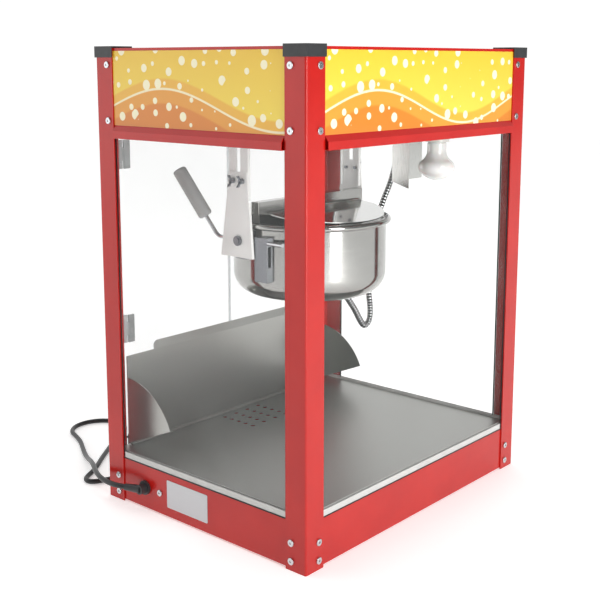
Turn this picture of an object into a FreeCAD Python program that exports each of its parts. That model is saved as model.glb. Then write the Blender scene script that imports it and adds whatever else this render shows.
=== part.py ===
import FreeCAD
import Part
import math
import os

# A cabinet popcorn maker. Millimetres, Z up, front towards -Y, origin on the floor
# under the middle of the cabinet. Each piece is saved as its own STEP file.

os.makedirs("parts", exist_ok=True)
V = FreeCAD.Vector

# Driving dimensions of the cabinet
cabinet_width = 560.0
cabinet_depth = 430.0
cabinet_height = 730.0
post_leg = 38.0
post_sheet = 2.0
post_bend = 3.0
cap_height = 17.0
cap_wall = 1.5
cap_top = 2.5
panel_sheet = 1.5
rail_lift = 3.0
rail_height = 70.0
rail_top_flange = 20.0
rail_foot_flange = 15.0
header_height = 136.5
header_flange = 15.0
lip_height = 19.5
lip_facet = 8.0
lip_out = 6.5
lip_sheet = 1.3
lip_gap = 2.0
cover_sheet = 1.5
ceiling_rise = 21.5
ceiling_sheet = 1.2
ceiling_upstand = 10.0

# Clearances
seat = 0.3
run_fit = 0.05
screw_play = 0.1
sheet_play = 0.5

# Screws
screw_low = 14.5
screw_pair = 27.5
screw_header_low = 26.5
screw_header_top = 25.0
screw_inset = 27.0
screw_radius = 2.5
screw_reach = 5.0
screw_head_radius = 5.2
screw_head_height = 2.4
screw_recess_radius = 1.7
screw_recess_depth = 1.0
earth_screw_gap = 34.4

# Floor of the cabinet
deck_rise = 7.0
deck_sheet = 1.2
deck_hole_radius = 4.5
deck_hole_pitch_x = 28.7
deck_hole_pitch_y = 17.1
deck_hole_inset = 101.5
deck_back_gap = 9.0
pan_sheet = 1.2

# Glass
glass = 4.0
glass_play = 0.2
glass_tuck = 17.5
glass_edge_gap = 11.0
channel_wall = 1.0
channel_floor = 1.2
channel_height = 11.0

# Doors
door_sheet = 3.0
door_inset = 3.0
door_foot_gap = 3.0
door_head_gap = 2.5
door_side_gap = 5.0
door_gap = 1.5
hinge_out = 2.5
hinge_knuckle = 4.5
hinge_pin = 2.0
hinge_tall = 46.0
hinge_end = 12.0
hinge_low_rise = 197.5
hinge_top_drop = 27.5
hinge_plate = 3.0
hinge_plate_reach = 23.0
leaf_sheet = 3.5
leaf_reach = 17.0
leaf_start = 5.0
knob_x = 22.0
knob_drop = 51.0
knob_radius = 12.0
knob_reach = 16.0

# Scoop guard
guard_side_gap = 25.8
guard_sheet = 1.5
guard_back_gap = 10.75
guard_tall = 151.0
guard_hem = 2.0
guard_toe = 9.0
guard_lip_inset = 59.0
guard_lip_tall = 14.0
guard_lip_back = 2.0
wing_radius = 112.0
wing_low_angle = 23.0

# Kettle, hung from the ceiling
kettle_y = 20.0
kettle_hang = 282.0
kettle_depth = 126.5
shell_radius = 127.0
shell_sheet = 1.2
shell_round = 36.0
rim_bead = 5.0
rim_bead_out = 3.0
pan_inset = 5.5
pan_wall = 1.2
pan_lift = 42.0
pan_round = 20.0
tube_radius = 8.0
tube_tall = 23.0
heater_inset = 32.0
heater_thick = 8.0
heater_bore = 22.0
motor_radius = 35.0
motor_tall = 27.0
gearbox_radius = 18.0
shaft_radius = 4.0
shaft_lift = 10.0
shaft_short = 5.0
hub_wall = 2.6
hub_top_plate = 3.0
paddle_gap = 23.5
paddle_lift = 0.8
paddle_tall = 5.0
paddle_wide = 12.0
tooth_tall = 21.0
tooth_inset = 26.0
tooth_wide = 6.0
tooth_thick = 4.0
bridge_over = 0.8
bridge_wide = 16.0
bridge_lift = 13.5
bridge_tall = 20.0
bridge_sheet = 1.5
bridge_bush = 15.5
lid_inset = 3.0
lid_sheet = 1.0
lid_bead = 2.2
lid_pin = 1.2
lid_pin_long = 8.0
lid_axis_rise = 1.5
lid_edge_gap = 1.7
lid_end_cut = 8.0
lid_tab = 3.0

# Tilting gear
pivot_back = 25.0
pivot_drop = 28.5
pivot_radius = 5.0
pivot_head = 2.5
ear_reach = 10.0
ear_wide = 24.0
ear_drop = 30.0
ear_rise = 14.0
strap_front = 17.0
strap_wide = 26.0
strap_rise = 35.0
strap_over = 8.0
strap_thick = 3.0
strap_window_low = 24.0
strap_window_top = 13.8
lever_gap = 6.5
lever_radius = 3.25
lever_front = 60.0
lever_back = 56.0
lever_bend_radius = 15.0
lever_out = 28.5
lever_run = 60.0
lever_rise = 107.0
grip_radius = 11.5
grip_long = 88.0
grip_end = 8.0
hanger_gap = 5.0
hanger_sheet = 2.0
hanger_flange = 6.0
hanger_wide = 41.0
hanger_over = 64.0
hanger_foot = 27.0
hanger_slot = 8.0
hanger_slot_low = 45.0
hanger_slot_top = 12.0
plate_sheet = 1.5
plate_over = 109.0
plate_drop = 27.0
plate_top_half = 19.0
plate_low_front = 30.0
plate_low_back = 39.0
plate_fold = 3.5
plate_fold_gap = 3.0
wing_screw_spread = 20.0
wing_screw_rise = 95.0
thumb_shank = 5.0
thumb_collar_radius = 4.5
thumb_collar = 6.0
thumb_root = 3.0
thumb_tip_in = 8.0
thumb_tip_out = 13.0
thumb_tall = 9.0
thumb_thick = 2.4

# Lamp
lamp_inset_x = 66.0
lamp_inset_y = 129.0
bulb_radius = 31.5
bulb_drop = 108.0
bulb_dome = 36.0
bulb_shoulder = 14.0
bulb_flare_angle = 55.0
bulb_neck_drop = 44.0
bulb_neck_radius = 16.5
bulb_base_radius = 13.0
bulb_base_drop = 14.0
bulb_step = 3.0
holder_radius = 21.0
holder_tall = 41.0
shield_beside = 56.0
shield_behind = 53.0
shield_depth = 34.0
shield_width = 88.0
shield_sheet = 1.0
shield_tall_back = 110.0
shield_tall_front = 120.0
shield_tab = 12.0

# Conduit from the ceiling to the kettle
conduit_radius = 5.6
conduit_bore = 3.8
conduit_groove = 0.8
conduit_pitch = 8.0

# Switches on the back header
switch_spacing = 60.0
switch_rise = 76.5
bezel_half = (13.0, 15.5)
bezel_thick = 2.0
body_half = (10.6, 14.0)
body_deep = 24.0
well_half = (8.5, 11.0)
well_deep = 11.0
rocker_tilt = 10.0
rocker_pin = 1.5
rocker_side_play = 0.35
rocker_axis_depth = 1.5

# Kernel drawer
drawer_half = 70.0
drawer_deep = 118.0
drawer_floor = 16.0
drawer_tall = 44.0
drawer_sheet = 1.0
drawer_face_over = 6.0
drawer_pull = 12.0
runner_inset = 16.0
runner_wide = 8.0

# Power cord
cord_radius = 4.2
floor_gap = 0.2
tie_sheet = 1.0
gland_inset = 90.0
gland_z = 37.0
gland_flange_radius = 11.5
gland_flange = 4.0
gland_neck_radius = 8.0
gland_sleeve = 28.0
gland_sleeve_radius = 7.0
gland_tip_radius = 5.2
gland_turn = 70.0
loop_aside = 177.0
loop_behind = 255.0
loop_radius = 50.0
coil_aside = 128.0
coil_behind = 64.0
coil_radius = 52.0
coil_turn_gap = 0.9
coil_layer_gap = 0.9
coil_low_turns = 1.5
coil_climb_turns = 0.5
coil_high_turns = 1.25
tie_wide = 10.0
cord_tail = 20.0
plug_long = 40.0
plug_half_wide = 18.0
plug_half_tall = 12.5
plug_sleeve = 22.0
plug_pin_long = 16.0

# Derived planes
half_w = cabinet_width / 2
half_d = cabinet_depth / 2
face_x = half_w - post_sheet
face_y = half_d - post_sheet
web_x = face_x - panel_sheet
web_y = face_y - panel_sheet
post_top = cabinet_height - cap_top
header_top = post_top - sheet_play
header_bottom = header_top - header_height
rail_top = rail_lift + rail_height
deck_top = rail_top + deck_rise
glass_x = face_x - sheet_play - channel_wall - glass_play
glass_y = face_y - sheet_play - channel_wall - glass_play
deck_x = glass_x - glass - glass_play - channel_wall - seat
deck_front = glass_y - glass - glass_play - channel_wall - seat
deck_back = half_d - deck_back_gap
ceiling_height = header_bottom + ceiling_rise
screw_heights = (screw_low, screw_low + screw_pair,
                 header_bottom + screw_header_low, header_top - screw_header_top)
gland_y = half_d - gland_inset
glass_top = header_bottom + glass_tuck
door_face_y = half_d - door_inset
door_back = door_face_y - door_sheet
door_bottom = rail_top + door_foot_gap
door_top = header_bottom - door_head_gap
door_edge = half_w - post_leg - door_side_gap
hinge_x = half_w - post_leg - hinge_knuckle - 2 * seat
hinge_y = half_d + hinge_out
hinge_heights = (door_bottom + hinge_low_rise, door_top - hinge_top_drop)
guard_half = deck_x - guard_side_gap
guard_lip_half = guard_half - guard_lip_inset
guard_y = half_d - guard_back_gap
guard_top = deck_top + guard_tall
switch_z = header_bottom + switch_rise
drawer_front_y = half_d - drawer_deep

# Derived places of the kettle and of what hangs with it
shell_bottom = ceiling_height - kettle_hang
rim_height = shell_bottom + kettle_depth
rim_bead_radius = shell_radius + rim_bead_out
pan_radius = shell_radius - pan_inset
pan_bottom = shell_bottom + pan_lift
tube_top = pan_bottom + tube_tall
heater_radius = shell_radius - heater_inset
bridge_half = rim_bead_radius + bridge_over
bridge_low = rim_height + bridge_lift
bridge_top = bridge_low + bridge_tall
shaft_bottom = shell_bottom + shaft_lift
shaft_top = bridge_top - shaft_short
paddle_reach = pan_radius - paddle_gap
lid_radius = shell_radius - lid_inset
lid_half = lid_radius - lid_end_cut
lid_axis_z = bridge_low + lid_axis_rise
lid_edge_z = rim_height + lid_edge_gap
pivot_y = kettle_y + pivot_back
pivot_z = rim_height - pivot_drop
ear_out = shell_radius + ear_reach
ear_low = pivot_z - ear_drop
ear_high = pivot_z + ear_rise
strap_y = kettle_y - strap_front
strap_low = shell_bottom + strap_rise
strap_high = pivot_z + strap_over
lever_x = shell_radius + lever_gap
lever_front_y = kettle_y - lever_front
lever_bend_y = pivot_y + lever_back
lever_end = V(-lever_x - lever_out, lever_bend_y + lever_run, pivot_z + lever_rise)
hanger_x = ear_out + hanger_gap
hanger_low = pivot_z + hanger_over
plate_top = pivot_z + plate_over
plate_low = pivot_z - plate_drop
plate_top_y = (pivot_y - plate_top_half, pivot_y + plate_top_half)
plate_low_y = (pivot_y - plate_low_front, pivot_y + plate_low_back)
wing_screw_z = pivot_z + wing_screw_rise

# Derived places of the lamp
lamp_x = half_w - lamp_inset_x
lamp_y = lamp_inset_y - half_d
bulb_bottom = ceiling_height - bulb_drop
bulb_neck_z = ceiling_height - bulb_neck_drop
bulb_base_top = ceiling_height - bulb_base_drop
holder_bottom = ceiling_height - holder_tall
shield_x = lamp_x - shield_beside
shield_y = lamp_y + shield_behind
shield_low_back = ceiling_height - shield_tall_back
shield_low_front = ceiling_height - shield_tall_front


# Shape helpers

def block(x0, x1, y0, y1, z0, z1):
    """A box between two corners."""
    return Part.makeBox(x1 - x0, y1 - y0, z1 - z0, V(x0, y0, z0))


def bar(start, direction, radius, length):
    """A round bar from a point along a direction."""
    return Part.makeCylinder(radius, length, start, direction)


def prism(points, along):
    """A flat polygon pushed along a vector."""
    return Part.Face(Part.makePolygon(points + points[:1])).extrude(along)


def lathe(profile, x, y):
    """A profile of (radius, height) pairs turned about a vertical axis."""
    points = [V(x + r, y, z) for r, z in profile]
    face = Part.Face(Part.makePolygon(points + points[:1]))
    return face.revolve(V(x, y, 0), V(0, 0, 1), 360)


def turned(edges, x, y):
    """A closed chain of edges turned about a vertical axis."""
    return Part.Face(Part.Wire(edges)).revolve(V(x, y, 0), V(0, 0, 1), 360)


def line(a, b):
    """A straight edge."""
    return Part.LineSegment(a, b).toShape()


def arc(a, middle, b):
    """A circular edge through three points."""
    return Part.Arc(a, middle, b).toShape()


def joined(shapes):
    """One solid out of shapes that touch or overlap."""
    return shapes[0].fuse(shapes[1:]).removeSplitter()


def mirrored(shape):
    """The same shape on the other side of the middle plane."""
    return shape.mirror(V(0, 0, 0), V(1, 0, 0))


def about_z(shape, angle):
    """The shape turned about the vertical axis of the cabinet."""
    return shape.rotated(V(0, 0, 0), V(0, 0, 1), angle)


def save(name, shape):
    """Write a piece to its own file."""
    shape.exportStep("parts/" + name + ".step")


def save_group(name, shapes):
    """Write several like pieces to one file."""
    save(name, Part.makeCompound(shapes))


# Screws of the case

def screw_spots():
    """Outer face points and outward directions of the screws in the posts."""
    spots = []
    for sx in (-1, 1):
        for sy in (-1, 1):
            for z in screw_heights:
                spots.append((V(sx * half_w, sy * (half_d - screw_inset), z), V(sx, 0, 0)))
                spots.append((V(sx * (half_w - screw_inset), sy * half_d, z), V(0, sy, 0)))
    return spots


def case_screw(spot, out):
    """A pan-head screw with a round recess."""
    shank = bar(spot - out * screw_reach, out, screw_radius, screw_reach)
    head = bar(spot, out, screw_head_radius, screw_head_height)
    crown = [e for e in head.Edges if (e.CenterOfMass - spot).dot(out) > screw_head_height - 0.01]
    head = head.makeFillet(screw_head_height / 3, crown)
    recess_start = spot + out * (screw_head_height - screw_recess_depth)
    recess = bar(recess_start, out, screw_recess_radius, screw_recess_depth)
    return joined([shank, head]).cut(recess)


earth_spot = V(-face_x, gland_y - earth_screw_gap, gland_z)
all_screws = screw_spots() + [(earth_spot, V(-1, 0, 0))]
drills = Part.makeCompound([
    bar(spot - out * (screw_reach + 1), out, screw_radius + screw_play, screw_reach + 2)
    for spot, out in all_screws])
save_group("case_screws", [case_screw(spot, out) for spot, out in all_screws])


# Corner posts and caps

def post(sx, sy):
    """A folded angle with a rounded outer corner."""
    def at(u, v):
        return V(sx * (half_w - u), sy * (half_d - v), 0)

    def corner(radius):
        return radius * (1 - math.sqrt(0.5))

    inner = post_bend - post_sheet
    bend = corner(post_bend)
    fold = post_sheet + corner(inner)
    edges = [
        line(at(post_leg, 0), at(post_bend, 0)),
        arc(at(post_bend, 0), at(bend, bend), at(0, post_bend)),
        line(at(0, post_bend), at(0, post_leg)),
        line(at(0, post_leg), at(post_sheet, post_leg)),
        line(at(post_sheet, post_leg), at(post_sheet, post_bend)),
        arc(at(post_sheet, post_bend), at(fold, fold), at(post_bend, post_sheet)),
        line(at(post_bend, post_sheet), at(post_leg, post_sheet)),
        line(at(post_leg, post_sheet), at(post_leg, 0)),
    ]
    return Part.Face(Part.Wire(edges)).extrude(V(0, 0, post_top)).cut(drills)


def cap(sx, sy):
    """A square plastic cap with a skirt on the two outer sides of a post."""
    reach = post_leg + cap_wall
    low = cabinet_height - cap_height

    def piece(u0, u1, v0, v1, z0, z1):
        xs = sorted((sx * (half_w - u0), sx * (half_w - u1)))
        ys = sorted((sy * (half_d - v0), sy * (half_d - v1)))
        return block(xs[0], xs[1], ys[0], ys[1], z0, z1)

    lid = piece(-cap_wall, reach, -cap_wall, reach, post_top, cabinet_height)
    skirt_x = piece(-cap_wall, 0, -cap_wall, reach, low, post_top)
    skirt_y = piece(-cap_wall, reach, -cap_wall, 0, low, post_top)
    return joined([lid, skirt_x, skirt_y])


corners = {"front_left": (-1, -1), "front_right": (1, -1),
           "back_left": (-1, 1), "back_right": (1, 1)}
for place, (sx, sy) in corners.items():
    save("post_" + place, post(sx, sy))
save_group("post_caps", [cap(sx, sy) for sx, sy in corners.values()])


# Panels of the four sides, built at the front and turned into place

def rail(face, half_span):
    """A base rail: a web with a flange inwards at the top and at the foot."""
    web = block(-half_span, half_span, -face, -face + panel_sheet, rail_lift, rail_top)
    top = block(-half_span, half_span, -face, -face + rail_top_flange,
                rail_top - panel_sheet, rail_top)
    foot = block(-half_span, half_span, -face, -face + rail_foot_flange,
                 rail_lift, rail_lift + panel_sheet)
    return joined([web, top, foot])


def header(face, half_web, half_flange, half_lip):
    """A header panel: a web, a flange inwards at the top and a hollow lip at the foot."""
    web = block(-half_web, half_web, -face, -face + panel_sheet, header_bottom, header_top)
    top = block(-half_flange, half_flange, -face, -face + header_flange,
                header_top - panel_sheet, header_top)
    shoulder = header_bottom + lip_height
    nose = shoulder - lip_facet

    def section(out, low, high, mid):
        return [V(-half_lip, -face, high), V(-half_lip, -face - out, mid),
                V(-half_lip, -face - out, low), V(-half_lip, -face, low)]

    along = V(2 * half_lip, 0, 0)
    outer = prism(section(lip_out, header_bottom, shoulder, nose), along)
    hollow = prism(section(lip_out - lip_sheet, header_bottom + lip_sheet,
                           shoulder - lip_sheet * 1.3, nose - lip_sheet / 3), along)
    return joined([web, top, outer.cut(hollow)])


def channel(face, half_span):
    """A U-shaped channel that holds the foot of a pane."""
    outer = face - sheet_play
    inner = outer - 2 * channel_wall - 2 * glass_play - glass
    body = block(-half_span, half_span, -outer, -inner, rail_top, rail_top + channel_height)
    slot = block(-half_span, half_span, -outer + channel_wall, -inner - channel_wall,
                 rail_top + channel_floor, rail_top + channel_height)
    return body.cut(slot)


def pane(outer, half_span):
    """A sheet of glass that stands in its channel."""
    return block(-half_span, half_span, -outer, -outer + glass,
                 rail_top + channel_floor + seat, glass_top)


span_x = face_x - (post_bend - post_sheet) - screw_play
rail_side_span = face_y - rail_top_flange - seat
header_side_web = web_y - seat
header_front_flange = web_x - seat
header_side_flange = face_y - header_flange - seat
lip_x = half_w - post_leg - lip_gap
lip_y = half_d - post_leg - lip_gap
glass_span_x = half_w - glass_edge_gap + 1
glass_span_y = half_d - glass_edge_gap

rail_front = rail(face_y, span_x)
rail_side = rail(face_x, rail_side_span)
header_front = header(face_y, span_x, header_front_flange, lip_x)
header_side = header(face_x, header_side_web, header_side_flange, lip_y)

save("base_rail_front", rail_front.cut(drills))
save("base_rail_right", about_z(rail_side, 90).cut(drills))
gland_hole = bar(V(-half_w, gland_y, gland_z), V(1, 0, 0), gland_neck_radius + screw_play, 6)
save("base_rail_left", about_z(rail_side, -90).cut(drills).cut(gland_hole))
save("header_front", header_front.cut(drills))
save("header_right", about_z(header_side, 90).cut(drills))
save("header_left", about_z(header_side, -90).cut(drills))
save("glass_front", pane(glass_y, glass_span_x))
save("glass_right", about_z(pane(glass_x, glass_span_y), 90))
save("glass_left", about_z(pane(glass_x, glass_span_y), -90))
save_group("glass_channels", [
    channel(face_y, glass_span_x),
    about_z(channel(face_x, glass_span_y), 90),
    about_z(channel(face_x, glass_span_y), -90)])

drawer_cut = block(-drawer_half - seat * 4, drawer_half + seat * 4, web_y - 1, face_y + 1,
                   drawer_floor - seat * 2, drawer_floor + drawer_tall + seat * 4)
save("base_rail_back", about_z(rail_front, 180).cut(drills).cut(drawer_cut))


# Header box and floor plates

cover_x = web_x - seat
cover_y = web_y - seat
cover_top = header_top - panel_sheet
save("top_cover", block(-cover_x, cover_x, -cover_y, cover_y, cover_top - cover_sheet, cover_top))

ceiling = block(-cover_x, cover_x, -cover_y, cover_y,
                ceiling_height, ceiling_height + ceiling_upstand)
ceiling_well = block(-cover_x + ceiling_sheet, cover_x - ceiling_sheet,
                     -cover_y + ceiling_sheet, cover_y - ceiling_sheet,
                     ceiling_height + ceiling_sheet, ceiling_height + ceiling_upstand)
screw_room = Part.makeCompound([
    bar(spot - out * (screw_reach + 1), out, screw_head_radius, screw_reach + 1)
    for spot, out in screw_spots() if abs(spot.z - screw_heights[2]) < 1])
save("ceiling_plate", ceiling.cut(ceiling_well).cut(screw_room))

pan_floor = rail_lift + panel_sheet
base = block(-cover_x, cover_x, -cover_y, cover_y, pan_floor, pan_floor + pan_sheet)
runner_x = drawer_half - runner_inset
runner = block(runner_x - runner_wide / 2, runner_x + runner_wide / 2, drawer_front_y, web_y - 10,
               pan_floor + pan_sheet, drawer_floor - seat)
save("base_pan", joined([base, runner, mirrored(runner)]))

deck = block(-deck_x, deck_x, -deck_front, deck_back, rail_top, deck_top)
deck_under = block(-deck_x + deck_sheet, deck_x - deck_sheet, -deck_front + deck_sheet,
                   deck_back - deck_sheet, rail_top, deck_top - deck_sheet)
holes = Part.makeCompound([
    bar(V((i - 1.5) * deck_hole_pitch_x, half_d - deck_hole_inset + j * deck_hole_pitch_y, rail_top),
        V(0, 0, 1), deck_hole_radius, deck_rise + 1)
    for i in range(4) for j in range(5)])
save("deck", deck.cut(deck_under).cut(holes))


# Back doors, built on the left and mirrored

door = block(-door_edge, -door_gap / 2, door_back, door_face_y, door_bottom, door_top)
up = V(0, 0, 1)


def fixed_hinge(z):
    """The hinge half on the post, with its two end knuckles and the pin."""
    low = z - hinge_tall / 2
    back = hinge_y + hinge_knuckle
    plate = block(-hinge_x - hinge_plate_reach, -hinge_x - hinge_knuckle - 1, half_d,
                  half_d + hinge_plate, low, low + hinge_tall)
    parts = [plate, bar(V(-hinge_x, hinge_y, low), up, hinge_pin, hinge_tall)]
    for start in (low, low + hinge_tall - hinge_end):
        parts.append(bar(V(-hinge_x, hinge_y, start), up, hinge_knuckle, hinge_end))
        parts.append(block(-hinge_x - hinge_plate_reach, -hinge_x, half_d, back,
                           start, start + hinge_end))
    return joined(parts)


def door_leaf(z):
    """The hinge half on the door, with the middle knuckle."""
    tall = hinge_tall - 2 * hinge_end - 2 * seat
    low = z - tall / 2
    outer = door_face_y + leaf_sheet
    knuckle = bar(V(-hinge_x, hinge_y, low), up, hinge_knuckle, tall)
    arm = block(-hinge_x, -hinge_x + leaf_start + 0.5, door_face_y + 1, outer + 1, low, low + tall)
    leaf = block(-hinge_x + leaf_start, -hinge_x + leaf_reach, door_face_y, outer,
                 z - hinge_tall / 2, z + hinge_tall / 2)
    bore = bar(V(-hinge_x, hinge_y, low - 1), up, hinge_pin + run_fit, tall + 2)
    return joined([knuckle, arm, leaf]).cut(bore)


knob_z = guard_top - knob_drop
knob_stem = bar(V(-knob_x, door_face_y, knob_z), V(0, 1, 0), knob_radius / 2, knob_reach / 2)
knob_head = bar(V(-knob_x, door_face_y + knob_reach / 2, knob_z), V(0, 1, 0),
                knob_radius, knob_reach / 2)
knob = joined([knob_stem, knob_head.makeFillet(2.5, knob_head.Edges[:2])])
fixed = [fixed_hinge(z) for z in hinge_heights]
leaves = [door_leaf(z) for z in hinge_heights]
save_group("hinge_blocks", fixed + [mirrored(s) for s in fixed])
save("door_left", door)
save("door_right", mirrored(door))
save_group("door_left_leaves", leaves)
save_group("door_right_leaves", [mirrored(s) for s in leaves])
save("door_left_knob", knob)
save("door_right_knob", mirrored(knob))


# Scoop guard: a plate on a short sole with a rolled hem, a leaning lip and two fan-shaped wings

guard_foot = deck_top + seat + guard_hem
plate_y = guard_y - guard_sheet / 2
lip_foot = guard_top - 1
guard_plate = block(-guard_half, guard_half, plate_y, plate_y + guard_sheet, guard_foot, guard_top)
guard_lip = prism([
    V(-guard_lip_half, plate_y, lip_foot),
    V(-guard_lip_half, plate_y + guard_sheet, lip_foot),
    V(-guard_lip_half, plate_y + guard_sheet + guard_lip_back, guard_top + guard_lip_tall),
    V(-guard_lip_half, plate_y + guard_lip_back, guard_top + guard_lip_tall)],
    V(2 * guard_lip_half, 0, 0))
lip_ends = [e for e in guard_lip.Edges
            if abs(e.Length - guard_sheet) < 0.2 and e.CenterOfMass.z > guard_top + 1]
guard_lip = guard_lip.makeFillet(guard_lip_tall * 0.7, lip_ends)
guard_axis_y = guard_y - guard_toe
guard_hem_bar = bar(V(-guard_half, guard_axis_y, guard_foot), V(1, 0, 0), guard_hem, 2 * guard_half)
guard_sole = block(-guard_half, guard_half, guard_axis_y, plate_y + guard_sheet,
                   guard_foot - guard_sheet / 2, guard_foot + guard_sheet / 2)


def wing_point(radius, angle):
    """A point of the left wing, by its distance and angle from the foot of the plate."""
    turn = math.radians(angle)
    return V(-guard_half, guard_y - radius * math.cos(turn), guard_foot + radius * math.sin(turn))


wing_start = wing_point(0, 0)
wing_low = wing_point(wing_radius, wing_low_angle)
wing_middle = wing_point(wing_radius, (90 + wing_low_angle) / 2)
wing_high = wing_point(wing_radius, 90)
wing = Part.Face(Part.Wire([line(wing_start, wing_low), arc(wing_low, wing_middle, wing_high),
                            line(wing_high, wing_start)])).extrude(V(guard_sheet, 0, 0))
save("scoop_guard", joined([guard_plate, guard_lip, guard_sole, guard_hem_bar,
                            wing, mirrored(wing)]))


# Kettle shell and pan

def cup_edges(radius, low, high, rounding, sheet):
    """The cut half of a cup: a flat bottom, a rounded corner and an upright wall."""
    slant = rounding * math.sqrt(0.5)
    inner = rounding - sheet

    def at(r, z):
        return V(r, kettle_y, z)

    centre_r = radius - rounding
    centre_z = low + rounding
    inner_slant = inner * math.sqrt(0.5)
    return [
        line(at(0, low), at(centre_r, low)),
        arc(at(centre_r, low), at(centre_r + slant, centre_z - slant), at(radius, centre_z)),
        line(at(radius, centre_z), at(radius, high)),
        line(at(radius, high), at(radius - sheet, high)),
        line(at(radius - sheet, high), at(radius - sheet, centre_z)),
        arc(at(radius - sheet, centre_z),
            at(centre_r + inner_slant, centre_z - inner_slant), at(centre_r, low + sheet)),
        line(at(centre_r, low + sheet), at(0, low + sheet)),
        line(at(0, low + sheet), at(0, low)),
    ]


axis = V(0, kettle_y, 0)
shell_floor = shell_bottom + shell_sheet
bead_z = rim_height - rim_bead
shell_top = bead_z - math.sqrt(rim_bead ** 2 - rim_bead_out ** 2) - seat
shell = turned(cup_edges(shell_radius, shell_bottom, shell_top, shell_round, shell_sheet),
               0, kettle_y)
save("kettle_shell", shell)

cup = turned(cup_edges(pan_radius + pan_wall, pan_bottom, rim_height, pan_round, pan_wall),
             0, kettle_y)
rim_flange = lathe([(pan_radius, rim_height - pan_wall), (rim_bead_radius, rim_height - pan_wall),
                    (rim_bead_radius, rim_height), (pan_radius, rim_height)], 0, kettle_y)
bead = Part.makeTorus(rim_bead_radius, rim_bead, V(0, kettle_y, bead_z), up)
tube = bar(V(0, kettle_y, pan_bottom), up, tube_radius, tube_top - pan_bottom)
shaft_hole = bar(V(0, kettle_y, shaft_bottom), up, shaft_radius + run_fit, shaft_top - shaft_bottom)
save("kettle_pan", joined([cup, rim_flange, bead, tube]).cut(shaft_hole))

heater_top = pan_bottom - seat
heater = bar(V(0, kettle_y, heater_top - heater_thick), up, heater_radius, heater_thick)
save("heater_plate", heater.cut(bar(V(0, kettle_y, heater_top - heater_thick), up,
                                    heater_bore, heater_thick)))

motor = bar(V(0, kettle_y, shell_floor), up, motor_radius, motor_tall)
gearbox = bar(V(0, kettle_y, shell_floor + motor_tall), up, gearbox_radius,
              pan_bottom - seat - shell_floor - motor_tall)
save("gear_motor", joined([motor, gearbox]).cut(shaft_hole))


# Stirrer

floor_of_pan = pan_bottom + pan_wall
hub_inner = tube_radius + 2 * seat
hub_outer = hub_inner + hub_wall
paddle_low = floor_of_pan + paddle_lift
hub_top = tube_top + 2 * seat + hub_top_plate
shaft = bar(V(0, kettle_y, shaft_bottom + seat), up, shaft_radius, shaft_top - shaft_bottom - 2 * seat)
hub = bar(V(0, kettle_y, paddle_low), up, hub_outer, hub_top - paddle_low)
hub_room = bar(V(0, kettle_y, paddle_low), up, hub_inner, tube_top + 2 * seat - paddle_low)
paddle = prism([
    V(hub_inner + 1, kettle_y - paddle_wide / 2, paddle_low),
    V(hub_inner + 1, kettle_y + paddle_wide / 2, paddle_low),
    V(hub_inner + 1, kettle_y + paddle_wide / 4, paddle_low + paddle_tall),
    V(hub_inner + 1, kettle_y - paddle_wide / 4, paddle_low + paddle_tall)],
    V(paddle_reach - hub_inner - 1, 0, 0))
tooth_x = paddle_reach - tooth_inset
tooth = block(tooth_x, tooth_x + tooth_wide, kettle_y - tooth_thick / 2, kettle_y + tooth_thick / 2,
              paddle_low + paddle_tall - 1, paddle_low + paddle_tall + tooth_tall)
arm = joined([paddle, tooth])
other_arm = arm.rotated(axis, up, 180)
hub_bore = bar(V(0, kettle_y, paddle_low), up, shaft_radius + run_fit, hub_top - paddle_low)
save("stirrer_shaft", shaft)
save("stirrer_paddle", joined([hub, arm, other_arm]).cut(hub_room).cut(hub_bore))


# Bridge across the mouth, and the two lids that hang on it

def bridge_block(half, y_half, z0, z1):
    """A box centred on the kettle's axis."""
    return block(-half, half, kettle_y - y_half, kettle_y + y_half, z0, z1)


bridge_y = bridge_wide / 2
lid_axis_y = bridge_y + lid_bead + 2 * seat
tab_x = lid_half + seat
beam = bridge_block(bridge_half, bridge_y, bridge_low, bridge_top).cut(
    bridge_block(bridge_half, bridge_y - bridge_sheet, bridge_low, bridge_top - bridge_sheet))
bush = bar(V(0, kettle_y, bridge_top - bridge_sheet / 3 - bridge_bush), up, shaft_radius * 2,
           bridge_bush)
bridge_parts = [beam, bush]
for sx in (-1, 1):
    x0, x1 = sorted((sx * (pan_radius + 0.5), sx * (rim_bead_radius - 1)))
    bridge_parts.append(block(x0, x1, kettle_y - bridge_y, kettle_y + bridge_y,
                              rim_height, bridge_top - bridge_sheet))
    for sy in (-1, 1):
        t0, t1 = sorted((sx * tab_x, sx * (tab_x + lid_tab)))
        y0, y1 = sorted((kettle_y + sy * (bridge_y - 0.5),
                         kettle_y + sy * (lid_axis_y + lid_bead)))
        bridge_parts.append(block(t0, t1, y0, y1, lid_axis_z - lid_bead, lid_axis_z + lid_bead))
        bridge_parts.append(bar(V(sx * tab_x, kettle_y + sy * lid_axis_y, lid_axis_z),
                                V(-sx, 0, 0), lid_pin, lid_pin_long))
save("kettle_bridge", joined(bridge_parts).cut(shaft_hole))

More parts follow.
